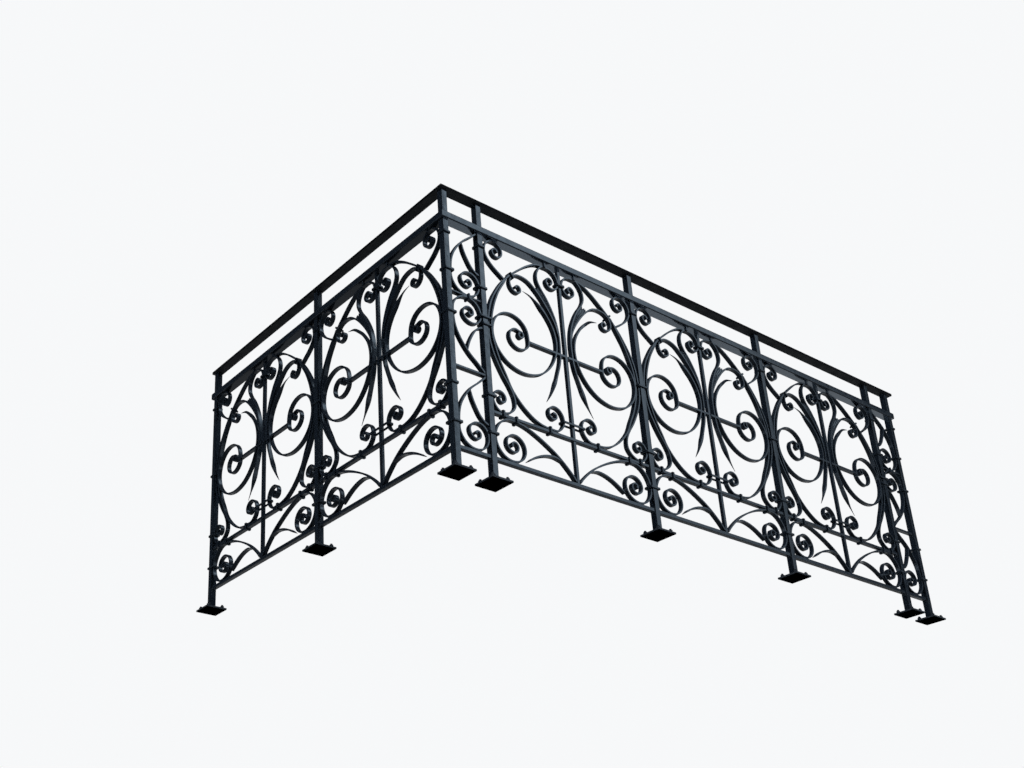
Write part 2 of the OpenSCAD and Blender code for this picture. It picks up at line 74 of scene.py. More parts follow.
@dataclass(frozen=True)
class Shell:
    """Closed surfaces made of four-cornered faces.

    Attributes:
        points: One row of x, y, z in millimetres for each point.
        quads: Four point numbers for each face, turning outwards.
        chart: For each corner of each face, metres along the piece and sides passed round it.
    """

    points: Array
    quads: Array
    chart: Array

    @staticmethod
    def joined(shells: Sequence["Shell"]) -> "Shell":
        """Put several shells into one.

        Args:
            shells: The shells, none of them empty.

        Returns:
            One shell that holds them all.
        """
        first = np.cumsum([0] + [len(s.points) for s in shells[:-1]])
        return Shell(
            np.concatenate([s.points for s in shells]),
            np.concatenate([s.quads + n for s, n in zip(shells, first)]),
            np.concatenate([s.chart for s in shells]),
        )

    def flipped(self) -> "Shell":
        """Turn every face round."""
        return Shell(self.points, self.quads[:, ::-1], self.chart[:, ::-1])

    def corners(self) -> list[Array]:
        """The first, second, third and fourth corner of every face, each as n x 3."""
        return [self.points[self.quads[:, k]] for k in range(4)]

    def outward(self) -> "Shell":
        """Turn the faces outwards, told by the sign of the volume that they enclose.

        Returns:
            The same shell, or the flipped one where the volume came out negative.
        """
        a, b, c, d = self.corners()
        volume = np.sum(np.cross(a, b) * c) + np.sum(np.cross(a, c) * d)
        return self.flipped() if volume < 0 else self

    def painted_shade_share(self, painted_shade: "PaintedShade") -> Array:
        """Tell how much shade is painted on each face, from its unit normal n, the cross of its diagonals.

        On faces that look down it is a gain times -n_z, less the share that stays unshaded. On a
        straight bar it is a gain times one less the largest of |n_x|, |n_y| and |n_z|, which is
        nothing on a face that looks along an axis, and a thinned -n_z on the underside is added.
        The paint darkens and dulls a face by this share, as painted shade.

        Args:
            painted_shade: Where the shade is painted.

        Returns:
            One number from 0 to 1 for each face.
        """
        a, b, c, d = self.corners()
        across = np.cross(c - a, d - b)
        facing = across / np.maximum(np.linalg.norm(across, axis=1, keepdims=True), TINY)
        if painted_shade is PaintedShade.UNDER:
            return np.clip(-DOWN_GAIN * facing[:, 2] - DOWN_UNSHADED, 0.0, 1.0)
        under = np.clip(-facing[:, 2], 0.0, 1.0) / UNDERSIDE_THIN
        turned = 1 - np.max(np.abs(facing), axis=1)
        return np.clip(ARRIS_GAIN * turned + under, 0.0, 1.0)

    def moved(self, x: float = 0.0, y: float = 0.0, z: float = 0.0) -> "Shell":
        """Shift the shell by a distance along each axis."""
        return Shell(self.points + np.array([x, y, z]), self.quads, self.chart)

    def mirrored(self, pitch: float) -> "Shell":
        """Mirror a half bay on the middle of its bay, whose width is the pitch."""
        points = self.points * np.array([-1.0, 1.0, 1.0]) + np.array([pitch, 0.0, 0.0])
        return Shell(points, self.quads, self.chart).flipped()

    def upended(self, level: float) -> "Shell":
        """Mirror the shell on a level plane."""
        points = self.points * np.array([1.0, 1.0, -1.0]) + np.array([0.0, 0.0, 2 * level])
        return Shell(points, self.quads, self.chart).flipped()

    def on_left(self) -> "Shell":
        """Mirror the shell on the diagonal of the corner, from the front side to the left side."""
        return Shell(self.points[:, [1, 0, 2]], self.quads, self.chart).flipped()


class PaintedShade(Enum):
    """Where shade is painted on a piece, as darker and duller faces."""

    UNDER = "faces that look down"
    ARRIS = "arrises"


class Side(Enum):
    """The two sides of the railing."""

    FRONT = "front"
    LEFT = "left"

    def place(self, shell: Shell, along: float = 0.0) -> Shell:
        """Put a shell, drawn along +X from its post, on this side at its post's distance along."""
        moved = shell.moved(along)
        return moved if self is Side.FRONT else moved.on_left()


class Slot(Enum):
    """The record's material slots."""

    BAR = "bar_paint"
    RAIL = "rail_paint"
    COLLAR = "collar_paint"
    FOOT = "foot_paint"


def skin(sections: Array, run: Array, turns: Array, closed: bool = False, period: float = 4.0) -> Shell:
    """Skin a row of sections: each point is joined to its neighbours round and along.

    Args:
        sections: n sections of m points, as n x m x 3.
        run: Millimetres along the piece at each section, and once more where it closes.
        turns: Place round the section of each of its points, with each side one unit long.
        closed: Whether the last section joins the first; otherwise both ends are capped.
        period: How much the last point of a section adds to reach the first.

    Returns:
        The closed surface, with its faces outwards.
    """
    n, m = sections.shape[:2]
    i, j = np.meshgrid(np.arange(n if closed else n - 1), np.arange(m), indexing="ij")
    i_next, j_next = (i + 1) % n, (j + 1) % m
    quads = np.stack([i * m + j, i_next * m + j, i_next * m + j_next, i * m + j_next], -1)
    along = np.stack([run[i], run[i + 1], run[i + 1], run[i]], -1) * MM
    ring = np.append(turns, turns[0] + period)
    around = np.stack([ring[j], ring[j], ring[j + 1], ring[j + 1]], -1)
    quads, chart = quads.reshape(-1, 4), np.stack([along, around], -1).reshape(-1, 4, 2)
    if not closed:
        k = np.arange(m // 2 - 1)
        low = np.stack([k, k + 1, m - 2 - k, m - 1 - k], 1)
        quads = np.concatenate([quads, low, (low + (n - 1) * m)[:, ::-1]])
        ends = np.repeat(np.array([run[0], run[n - 1]]) * MM, len(low))
        caps = np.stack([ends, np.full_like(ends, 0.5)], 1)
        chart = np.concatenate([chart, np.repeat(caps[:, None, :], 4, 1)])
    return Shell(sections.reshape(-1, 3), quads, chart).outward()


def about(size: float) -> Pair:
    """Both ends of a size that lies evenly about 0."""
    return -size / 2, size / 2


# A section of a bar has sixteen points, four on the quarter circle of each corner
POINTS = np.arange(16)
CORNER = POINTS // 4
ANGLE = np.radians(90.0 * CORNER + 30.0 * (POINTS % 4))
# Place round the section of each point: a corner lies at a whole number and takes a tenth on each side
CORNER_REACH = 0.1
TURNS = CORNER + 1.0 + CORNER_REACH * (POINTS % 4 - 1.5) / 1.5
# Most of a half thickness that the radius of an arris takes
MOST_ARRIS = 0.95
# A leaf's points stand at even angles, half a step off the axes
LENS_ANGLE = np.radians(22.5 * (POINTS + 0.5))
LENS_POWER = 1.4


def squared(across: Array, deep: Array, arris: float) -> Array:
    """Sections of a bar: rectangles whose corners are quarter circles of the arris radius.

    Args:
        across: Half thickness at each section.
        deep: Half depth at each section.
        arris: Radius of the arrises.

    Returns:
        Sixteen points for each section, as n x 16 x 2 of across and deep.
    """
    r = np.minimum(arris, MOST_ARRIS * np.minimum(across, deep))[:, None]
    side_a = np.where(np.isin(CORNER, (0, 3)), 1.0, -1.0)
    side_b = np.where(np.isin(CORNER, (0, 1)), 1.0, -1.0)
    a = side_a * (across[:, None] - r) + r * np.cos(ANGLE)
    b = side_b * (deep[:, None] - r) + r * np.sin(ANGLE)
    return np.stack([a, b], -1)


def bladed(across: Array, deep: Array) -> Array:
    """Sections of a leaf: lenses with a blunt ridge, the cosine and sine raised to a power over 1.

    Args:
        across: Half thickness at each section.
        deep: Half depth at each section.

    Returns:
        Sixteen points for each section, as n x 16 x 2 of across and deep.
    """
    c, s = np.cos(LENS_ANGLE), np.sin(LENS_ANGLE)
    a = across[:, None] * np.sign(c) * np.abs(c) ** LENS_POWER
    b = deep[:, None] * np.sign(s) * np.abs(s) ** LENS_POWER
    return np.stack([a, b], -1)


def headings(p: Array) -> Array:
    """Direction of a line at each point, each side weighted by how near its neighbour is.

    Args:
        p: Points of the line, as n x 2.

    Returns:
        One direction for each point, about one unit long.
    """
    step = np.diff(p, axis=0)
    size = np.linalg.norm(step, axis=1, keepdims=True)
    before, after = size[:-1], size[1:]
    middle = (step[:-1] * after / before + step[1:] * before / after) / (before + after)
    return np.concatenate([step[:1] / size[:1], middle, step[-1:] / size[-1:]])


# Most that a straight step may stray from a curve: one that only sizes are taken from, a bar, and
# a side of the web
MEASURED = 0.3
FORGED = 0.06
WEBBED = 0.05
# Fewest straight steps between two points of a drawing
BAR_STEPS = 2
BRANCH_STEPS = 3
LEAF_STEPS = 4
WEB_STEPS = 4


def smooth(p: Array, error: float = MEASURED, least: int = 1) -> Array:
    """Smooth curve through the points of a line, by a cubic between each two points.

    A cubic starts and ends along the line's headings. It gets the root of length times turn
    over eight times the error as its number of straight steps, rounded up.

    Args:
        p: Points of the line.
        error: Most that a straight step may stray from the curve.
        least: Fewest steps between two points.

    Returns:
        The points of the curve.
    """
    h = headings(p)
    unit = h / np.linalg.norm(h, axis=1, keepdims=True)
    size = np.linalg.norm(np.diff(p, axis=0), axis=1)
    turn = np.arccos(np.clip(np.sum(unit[:-1] * unit[1:], axis=1), -1.0, 1.0))
    count = np.maximum(least, np.ceil(np.sqrt(size * turn / (8.0 * error)))).astype(int)
    i = np.repeat(np.arange(len(size)), count)
    t = ((np.arange(count.sum()) - np.repeat(np.cumsum(count) - count, count)) / count[i])[:, None]
    d = size[i][:, None]
    curve = (p[i] * (2 * t ** 3 - 3 * t ** 2 + 1) + h[i] * d * (t ** 3 - 2 * t ** 2 + t)
             + p[i + 1] * (3 * t ** 2 - 2 * t ** 3) + h[i + 1] * d * (t ** 3 - t ** 2))
    return np.concatenate([curve, p[-1:]])


# Points of a scroll to a quarter turn
PER_QUARTER = 3


def scroll(centre: Pair, start: float, turn: int, radii: Sequence[float]) -> Array:
    """Points of a scroll at even angles; its radius changes by an even ratio in each quarter turn.

    Args:
        centre: Middle of the scroll.
        start: Angle of its first point in degrees.
        turn: 1 for anticlockwise, -1 for clockwise.
        radii: Radius at the start and after each quarter turn.

    Returns:
        The points.
    """
    r = np.array(radii, float)
    i = np.arange(PER_QUARTER * (len(r) - 1) + 1)
    k = np.minimum(i // PER_QUARTER, len(r) - 2)
    radius = r[k] * (r[k + 1] / r[k]) ** (i / PER_QUARTER - k)
    angle = np.radians(start + 90.0 / PER_QUARTER * turn * i)
    return np.array(centre) + radius[:, None] * np.stack([np.cos(angle), np.sin(angle)], 1)


def run_of(p: Array) -> Array:
    """Distance run along a line up to each of its points."""
    return np.concatenate([[0.0], np.cumsum(np.linalg.norm(np.diff(p, axis=0), axis=1))])


def ease(x: Array, low: float, high: float) -> Array:
    """Rise smoothly from 0 at low to 1 at high: three squares less two cubes."""
    t = np.clip((x - low) / (high - low), 0.0, 1.0)
    return t * t * (3.0 - 2.0 * t)


# Length in millimetres and share of the seed of each wave of hand work
WAVES = ((17.0, 1.0), (29.0, 2.3), (47.0, 4.1))


def wobble(run: Array, seed: float, size: float) -> Array:
    """Unevenness of hand work along a bar: the mean of sines of unrelated lengths."""
    return size * sum(np.sin(run / length + share * seed) for length, share in WAVES) / len(WAVES)


@dataclass(frozen=True)
class Field:
    """The rectangle of a drawing and the clear rectangle that it is stretched to.

    Attributes:
        low: Lowest corner of the drawing.
        high: Highest corner of the drawing.
        origin: Lowest corner of the real rectangle.
        size: Width and height of the real rectangle.
    """

    low: Array
    high: Array
    origin: Array
    size: Array

    def placed(self, line: Array) -> Array:
        """Move and stretch the points of a drawing to the real rectangle."""
        return self.origin + (np.asarray(line, float) - self.low) * self.size / (self.high - self.low)

    def across(self, x: float) -> float:
        """Real place along the side of a place in the drawing."""
        return float(self.placed([(x, 0)])[0, 0])

    def level(self, y: float) -> float:
        """Real level of a level in the drawing."""
        return float(self.placed([(0, y)])[0, 1])


@dataclass(frozen=True)
class Sizes:
    """Sizes of the railing in millimetres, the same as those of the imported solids.

    Levels are taken from the floor, and lengths of a side from the middle of the corner post.

    Attributes:
        bay_pitch: Spacing of the posts of a wide bay.
        narrow_pitch: Spacing of the posts of a narrow panel.
        front_bays: Wide bays of the front side.
        left_bays: Wide bays of the left side.
        rail_height: Top of the handrail.
        hand_gap: Gap between the handrail and the second rail.
        hand_w: Width of the handrail.
        hand_t: Its thickness at the crown.
        hand_crown: How far the crown stands over its edges.
        mid_w: Width of the second rail.
        mid_h: Its height.
        mid_round: Radius of its edges.
        lower_rail_z: Top of the lower rail.
        lower_rail_h: Its height.
        bottom_rail_z: Top of the bottom rail.
        bottom_rail_h: Its height.
        flat_depth: Depth of the lower and the bottom rail.
        cross_bar_z: Middle of the cross bar of a narrow panel.
        cross_t: Its height.
        rail_overrun: How far the rails run past an end post, but for the front handrail.
        hand_overrun: How far the front handrail does.
        post_w: Width of the posts.
        centre_w: Width of the middle bars.
        bar_t: Thickness of the scroll bars.
        bar_depth: Their depth.
        tip_half: Half thickness of a point.
        weld_taper: Length over which a welded end tapers to its point.
        snub_r: Radius of the snubs.
        foot_t: Thickness of the foot plates.
        hole_pitch: Spacing of the anchors in a foot plate.
        collar_t: Thickness of the collars.
        collar_h: Their height.
        collar_clear: Room between a collar and what it holds.
        seat_gap: Room between a scroll and the bars of its field.
    """

    bay_pitch: float = 695.0
    narrow_pitch: float = 140.0
    front_bays: int = 3
    left_bays: int = 2
    rail_height: float = 1000.0
    hand_gap: float = 88.0
    hand_w: float = 35.0
    hand_t: float = 12.0
    hand_crown: float = 1.0
    mid_w: float = 35.0
    mid_h: float = 25.0
    mid_round: float = 3.0
    lower_rail_z: float = 245.0
    lower_rail_h: float = 10.0
    bottom_rail_z: float = 90.0
    bottom_rail_h: float = 12.0
    flat_depth: float = 16.0
    cross_bar_z: float = 356.0
    cross_t: float = 8.0
    rail_overrun: float = 10.0
    hand_overrun: float = 28.0
    post_w: float = 22.0
    centre_w: float = 12.0
    bar_t: float = 6.0
    bar_depth: float = 16.0
    tip_half: float = 0.8
    weld_taper: float = 20.0
    snub_r: float = 4.5
    foot_t: float = 6.0
    hole_pitch: float = 56.0
    collar_t: float = 4.5
    collar_h: float = 7.0
    collar_clear: float = 0.3
    seat_gap: float = 0.3

    @property
    def seat(self) -> float:
        """Room between the edge of a clear field and the middle line of a bar in it."""
        return self.seat_gap + self.bar_t / 2

    @property
    def hand_z(self) -> float:
        """Underside of the handrail."""
        return self.rail_height - self.hand_t

    @property
    def mid_top(self) -> float:
        """Top of the second rail."""
        return self.hand_z - self.hand_gap

    @property
    def mid_z(self) -> float:
        """Underside of the second rail."""
        return self.mid_top - self.mid_h

    @property
    def lower_z(self) -> float:
        """Underside of the lower rail."""
        return self.lower_rail_z - self.lower_rail_h

    @property
    def bottom_z(self) -> float:
        """Underside of the bottom rail."""
        return self.bottom_rail_z - self.bottom_rail_h

    @property
    def cross_low(self) -> float:
        """Underside of the cross bar of a narrow panel."""
        return self.cross_bar_z - self.cross_t / 2

    @property
    def upper_mid(self) -> float:
        """Level halfway between the cross bar and the second rail."""
        return (self.mid_z + self.cross_bar_z + self.cross_t / 2) / 2

    @property
    def front_posts(self) -> list[float]:
        """Places of the posts between the corner and the end of the front side."""
        return [self.narrow_pitch + i * self.bay_pitch for i in range(self.front_bays + 1)]

    @property
    def front_end(self) -> float:
        """Place of the last post of the front side."""
        return 2 * self.narrow_pitch + self.front_bays * self.bay_pitch

    @property
    def left_end(self) -> float:
        """Place of the last post of the left side."""
        return self.left_bays * self.bay_pitch

    def starts(self, side: Side) -> list[float]:
        """Places of the posts that the wide bays of a side start from.

        Args:
            side: Front or left.

        Returns:
            One distance from the corner post for each bay.
        """
        if side is Side.FRONT:
            return self.front_posts[:-1]
        return [i * self.bay_pitch for i in range(self.left_bays)]


SIZES = Sizes()


def drawn(*parts: Sequence[Pair] | Array) -> Array:
    """String lists of points and scrolls together to one line."""
    return np.concatenate([np.asarray(part, float) for part in parts])


# Half of a wide bay, from the post to the middle bar
POST_CURL = drawn(
    [(79, 490), (58, 504), (38, 518), (22, 533), (11, 548)],
    scroll((52, 582), 200, -1, (50, 37.5, 28, 21, 15.5, 10, 7)))
LONG_BAR = drawn(
    scroll((33, 45), 226, -1, (39, 27.8, 19.8, 14, 9.5, 7))[::-1],
    [(24, 0), (50, 0), (72, 11), (88, 32), (88, 60), (74, 92), (50, 127), (30, 162), (12, 202), (2, 240)],
    [(0, 280), (6, 342), (22, 394), (44, 434), (68, 470), (96, 502), (152, 552), (192, 582), (232, 602)],
    scroll((288, 556), 114, -1, (54, 38.2, 27, 19, 13, 9, 7)))
OVAL_BAR = drawn(
    [(102, 515), (76, 470), (56, 438), (36, 394), (24, 358), (16, 322), (14, 282), (16, 252), (24, 220)],
    [(40, 174), (60, 134), (80, 92), (104, 62), (144, 27), (176, 9), (216, 0), (241, 0)],
    scroll((252, 53), 280, 1, (53, 39, 29, 20.5, 13.5, 9, 7)))
LEAF_BAR = drawn(
    [(258, 606), (244, 594), (230, 570), (228, 542), (238, 518), (261, 486), (281, 450), (297, 410)],
    [(306, 362), (306, 302), (302, 262), (287, 214), (272, 174), (250, 128), (230, 96)])
CROOK = drawn(
    [(304, 352), (297, 386), (279, 422), (251, 462), (218, 498), (186, 521)],
    scroll((137, 476), 68, 1, (55, 35, 20, 13.5, 9.5, 7)))
SNAIL = drawn(
    [(166, 478), (196, 470), (226, 448), (258, 414), (282, 374)],
    scroll((112, 296), 8, -1, (182, 131, 96, 71, 56)),
    scroll((120, 288), -22, -1, (48, 37, 32, 28)),
    scroll((134, 301), 40, -1, (13.5, 10, 8, 7)))
WIDE_LINES = [smooth(line) for line in (POST_CURL, LONG_BAR, OVAL_BAR, LEAF_BAR, CROOK, SNAIL)]
# The two sides of the web between the crook and the leaf bar, from the bottom up
WEB_SIDES = (
    drawn([(304, 352), (297, 386), (279, 422), (251, 462), (222, 494), (219, 508)]),
    drawn([(306, 362), (297, 410), (281, 450), (261, 486), (238, 518)]))
# The band under the lower rail, and a unit of the narrow panels
BAND_MAIN = drawn(
    [(323, 20), (313, 33), (298, 49), (280, 66), (252, 89), (216, 112), (176, 133), (136, 149), (96, 157)],
    scroll((78, 73), 105, 1, (85, 67, 52.5, 43, 34.2, 27.3, 21.7, 14.5, 10, 7.5)))
BAND_BRANCH = drawn([(268, 73), (244, 80), (216, 78), (184, 68), (154, 52), (130, 35)])
NARROW_ARC = drawn(
    [(120, 264), (90, 234), (58, 206), (30, 170), (12, 134)],
    scroll((70, 58), 160, 1, (70, 54, 41, 37.5, 30.5, 18.5, 11, 9, 7)))
NARROW_BRANCH = drawn([(50, 200), (56, 174), (70, 142), (86, 116), (102, 102), (122, 96)])
# How far the arc of a unit starts over its field, and how far along it its belly starts
ARC_OVER = 8.0
ARC_RUN = 250.0


def extent(lines: Sequence[Array]) -> tuple[Array, Array]:
    """Lowest and highest corner of the rectangle that just holds the lines."""
    points = np.concatenate(list(lines))
    return points.min(axis=0), points.max(axis=0)


def wide_field() -> Field:
    """Work out the clear field of half a wide bay, above the lower rail.

    Returns:
        The field, which holds every line of the half bay.
    """
    s = SIZES
    width = s.bay_pitch / 2 - s.centre_w / 2 - s.post_w / 2 - 2 * s.seat
    height = s.mid_z - s.lower_rail_z - 2 * s.seat
    low = np.array([s.post_w / 2 + s.seat, s.lower_rail_z + s.seat])
    return Field(*extent(WIDE_LINES), low, np.array([width, height]))


def band_field() -> Field:
    """Work out the clear field of half a band, between the bottom rail and the lower rail.

    Returns:
        The field, as wide as that of the half bay.
    """
    s = SIZES
    low = np.array([s.post_w / 2 + s.seat, s.bottom_rail_z + s.seat])
    size = np.array([wide_field().size[0], s.lower_z - s.bottom_rail_z - 2 * s.seat])
    return Field(*extent([smooth(BAND_MAIN)]), low, size)


def narrow_field(low: float, height: float) -> Field:
    """The clear field of a unit of a narrow panel.

    Args:
        low: Level of the bar under the unit.
        height: Clear height of the unit.

    Returns:
        The field; the arc runs on past its upper corner.
    """
    s = SIZES
    arc = smooth(NARROW_ARC)
    belly = arc[run_of(arc) >= ARC_RUN]
    top = np.array([belly[:, 0].max(), arc[0, 1] - ARC_OVER])
    origin = np.array([s.post_w / 2 + s.seat, low + s.seat])
    size = np.array([s.narrow_pitch - s.post_w - 2 * s.seat, height - 2 * s.seat])
    return Field(arc.min(axis=0), top, origin, size)


WIDE = wide_field()
BAND = band_field()
UPPER = narrow_field(SIZES.upper_mid, SIZES.mid_z - SIZES.upper_mid)
FOOT = narrow_field(SIZES.bottom_rail_z, SIZES.cross_low - SIZES.bottom_rail_z)


class End(Enum):
    """How an end of a bar is finished."""

    CUT = "cut"
    WELD = "weld"
    LEAF = "leaf"
    SNUB = "snub"


@dataclass(frozen=True)
class ForgedBar:
    """A bar bent in the plane of its panel, its depth across the plane.

    Attributes:
        line: Its smooth middle line, as n x 2 of x and z.
        start: Finish of its start.
        end: Finish of its end.
        seed: Number that sets the unevenness of its hammering.
        arris: Radius of its arrises.
        uneven_t: Size of the unevenness of each side of its thickness.
        uneven_d: Size of the unevenness of each side of its depth.
        depth_seed: What the seed grows by for the depth.
        leaf_run: Length over which a leaf grows into the bar.
        leaf_swell: How much each side of a leaf swells past an even taper.
        leaf_tip: Half depth at the point of a leaf.
        leaf_deepens: Shares of the leaf's length between which it grows to the depth of the bar.
        leaf_squares: Shares of its length between which the lens goes over into the bar's section.
    """

    line: Array
    start: End = End.CUT
    end: End = End.CUT
    seed: float = 0.0
    arris: float = 0.7
    uneven_t: float = 0.13
    uneven_d: float = 0.15
    depth_seed: float = 3.0
    leaf_run: float = 110.0
    leaf_swell: float = 3.5
    leaf_tip: float = 1.0
    leaf_deepens: Pair = (0.08, 0.85)
    leaf_squares: Pair = (0.25, 0.9)

    def halves(self, run: Array, finish: End) -> tuple[Array, Array, Array]:
        """Half thickness, half depth and leaf share at distances from an end.

        A weld tapers evenly to its point. A leaf tapers evenly too, plus a half sine wave of
        swelling, while its depth eases from the tip's to the bar's.

        Args:
            run: Distances from the end.
            finish: Finish of that end.

        Returns:
            The half thickness, the half depth, and how far each section is a lens.
        """
        half, deep = SIZES.bar_t / 2, SIZES.bar_depth / 2
        across = half + wobble(run, self.seed, self.uneven_t)
        depth = deep + wobble(run, self.seed + self.depth_seed, self.uneven_d)
        lens = np.zeros_like(run)
        if finish is End.WELD:
            taper = SIZES.tip_half + (half - SIZES.tip_half) * run / SIZES.weld_taper
            across = np.minimum(across, taper)
        if finish is End.LEAF:
            q = np.clip(run / self.leaf_run, 0.0, 1.0)
            leaf = SIZES.tip_half + (half - SIZES.tip_half) * q + self.leaf_swell * np.sin(np.pi * q)
            across = np.where(q < 1.0, leaf, across)
            depth = self.leaf_tip + (depth - self.leaf_tip) * ease(q, *self.leaf_deepens)
            lens = 1.0 - ease(q, *self.leaf_squares)
        return across, depth, lens

    def shell(self) -> Shell:
        """Carry the section along the line, square to it.

        Returns:
            The bar, with its snub if it has one.
        """
        run = run_of(self.line)
        first, last = self.halves(run, self.start), self.halves(run[-1] - run, self.end)
        near = run < run[-1] / 2
        across, depth, lens = (np.where(near, a, b) for a, b in zip(first, last))
        lens = lens[:, None, None]
        section = squared(across, depth, self.arris) * (1 - lens) + bladed(across, depth) * lens
        h = headings(self.line)
        h = h / np.linalg.norm(h, axis=1, keepdims=True)
        x = self.line[:, 0:1] - h[:, 1:2] * section[..., 0]
        z = self.line[:, 1:2] + h[:, 0:1] * section[..., 0]
        made = [skin(np.stack([x, section[..., 1], z], -1), run, TURNS)]
        if self.end is End.SNUB:
            made.append(snub(self.line[-1]))
        return Shell.joined(made)


def spool(middle: Array, levels: Array, radii: Array, axis: int = 2, count: int = 24,
          flats: int = 0, apothem: float = 0.0, turn: float = 0.5) -> Shell:
    """A round piece: circles of changing radius carried along an axis.

    With flats, each point also stays within a regular polygon of the given apothem, which is
    the apothem over the cosine of the angle from the middle of the nearest flat.

    Args:
        middle: The point on the axis at level 0, as x, y, z.
        levels: Distance of each circle along the axis.
        radii: Radius of each circle.
        axis: 0, 1 or 2 for the x, y or z axis.
        count: Points in each circle.
        flats: Number of flats, or 0 for a round piece.
        apothem: Distance of the flats from the axis.
        turn: Place round a bar that it is charted as: 0 for an arris, 0.5 for the middle of a side.

    Returns:
        The closed piece.
    """
    angle = 2 * np.pi * (np.arange(count) + 0.5) / count
    radius = np.repeat(np.asarray(radii, float)[:, None], count, 1)
    if flats:
        off = (angle + np.pi / flats) % (2 * np.pi / flats) - np.pi / flats
        radius = np.minimum(radius, apothem / np.cos(off))
    a, b = radius * np.cos(angle), radius * np.sin(angle)
    c = np.repeat(np.asarray(levels, float)[:, None], count, 1)
    order = {0: (c, a, b), 1: (b, c, a), 2: (a, b, c)}[axis]
    run = np.asarray(levels, float) - levels[0]
    return skin(np.stack(order, -1) + np.asarray(middle, float), run, np.full(count, turn), period=0.0)


# Half of a snub from the eye outwards: depth under the face of the bar, and share of the radius
SNUB_DEPTHS = np.array([1.2, 0.3, 0.0, 0.0, 0.15, 0.6, 1.4])
SNUB_RADII = np.array([0.14, 0.22, 0.32, 0.84, 0.93, 0.99, 1.0])


def snub(point: Array) -> Shell:
    """The rolled snub at the inner end of a scroll: a drum with flat ends and an eye in each.

    Args:
        point: Its middle, as x and z.

    Returns:
        The closed drum.
    """
    levels = SNUB_DEPTHS - SIZES.bar_depth / 2
    radii = SNUB_RADII * SIZES.snub_r
    return spool(np.array([point[0], 0.0, point[1]]), np.concatenate([levels, -levels[::-1]]),
                 np.concatenate([radii, radii[::-1]]), axis=1, turn=0.0)


# Straight bars: longest step, share of the arris at which an end's edge is cut, and unevenness
STRAIGHT_STEP = 40.0
EDGE_SHARE = 0.3
STRAIGHT_UNEVEN = 0.12


def stock(start: Pair, end: Pair, across: float, y: Pair, arris: float, soft_ends: bool = True,
          seed: float = 0.0) -> Shell:
    """A straight square bar or block between two points of a panel.

    Near a soft end the section shrinks by the arris radius less the root of its square less
    the square of what is missing to the radius, so that the end's edges are round too.

    Args:
        start: Middle of one end, as x and z.
        end: Middle of the other end.
        across: Full thickness in the plane of the panel.
        y: Front and back of the bar.
        arris: Radius of its edges.
        soft_ends: Whether the edges of its ends are rounded.
        seed: Number that sets the unevenness of its surface, or 0 for an even bar.

    Returns:
        The closed bar.
    """
    a, b = np.array(start, float), np.array(end, float)
    length = float(np.linalg.norm(b - a))
    body = np.linspace(arris, length - arris, max(2, int(length / STRAIGHT_STEP)))
    s = np.concatenate([[0.0, EDGE_SHARE * arris], body, [length - EDGE_SHARE * arris, length]])
    shrink = np.zeros_like(s)
    if soft_ends:
        missing = arris - np.minimum(np.minimum(s, length - s), arris)
        shrink = arris - np.sqrt(np.maximum(arris ** 2 - missing ** 2, 0.0))
    uneven = wobble(s, seed, STRAIGHT_UNEVEN) if seed else 0.0
    section = squared(across / 2 - shrink + uneven, (y[1] - y[0]) / 2 - shrink, arris)
    t = (b - a) / length
    line = a + s[:, None] * t
    x = line[:, 0:1] - t[1] * section[..., 0]
    z = line[:, 1:2] + t[0] * section[..., 0]
    return skin(np.stack([x, section[..., 1] + (y[0] + y[1]) / 2, z], -1), s, TURNS)


# Square rings: radius of an inner corner, sections in a corner, and the size and the turn from
# section to section of the unevenness of their thickness and of their height
RING_INNER_R = 0.9
RING_CORNER = 5
RING_THICK_UNEVEN = (0.15, 1.3)
RING_HIGH_UNEVEN = (0.2, 0.9)


def ring(low: Pair, high: Pair, thick: float, height: float, arris: float, seed: float = 0.0) -> Array:
    """Sections of a square ring with rounded corners.

    The middle line is the inner rectangle grown by half the thickness, with quarter circles at
    its corners, and each section stands square to it. A sine round the ring makes it uneven.

    Args:
        low: Lowest corner of the inner rectangle.
        high: Highest corner of the inner rectangle.
        thick: Thickness of the ring in its plane.
        height: Its height along its axis.
        arris: Radius of its arrises.
        seed: Number that sets its unevenness.

    Returns:
        The sections, as n x 16 x 3 of two axes in the ring's plane and its own axis.
    """
    radius = thick / 2 + RING_INNER_R
    angle = np.radians(np.concatenate([90.0 * k + np.linspace(0, 90, RING_CORNER) for k in range(4)]))
    right = np.repeat([1.0, 0.0, 0.0, 1.0], RING_CORNER)
    up = np.repeat([1.0, 1.0, 0.0, 0.0], RING_CORNER)
    inset = thick / 2 - radius
    x = np.where(right > 0, high[0] + inset, low[0] - inset)
    y = np.where(up > 0, high[1] + inset, low[1] - inset)
    out = np.stack([np.cos(angle), np.sin(angle)], 1)
    middle = np.stack([x, y], 1) + radius * out
    n = np.arange(len(angle))
    size, turn = RING_THICK_UNEVEN
    across = thick / 2 + size * np.sin(turn * n + seed)
    size, turn = RING_HIGH_UNEVEN
    deep = height / 2 + size * np.sin(turn * n + 2.0 * seed)
    section = squared(across, deep, arris)
    plane = middle[:, None, :] + out[:, None, :] * section[..., 0:1]
    return np.concatenate([plane, section[..., 1:2]], -1)


def ring_shell(sections: Array) -> Shell:
    """Skin a closed ring of sections.

    Args:
        sections: The sections, as n x 16 x 3.

    Returns:
        The closed ring.
    """
    middle = sections.mean(axis=1)
    steps = np.linalg.norm(np.roll(middle, -1, axis=0) - middle, axis=1)
    return skin(sections, np.concatenate([[0.0], np.cumsum(steps)]), TURNS, closed=True)


def forged(room: Field, line: Array, ends: tuple[End, End], seed: float, least: int) -> Shell:
    """Forge a bar along a line of a drawing that is stretched to a clear field."""
    return ForgedBar(smooth(room.placed(line), FORGED, least), *ends, seed).shell()


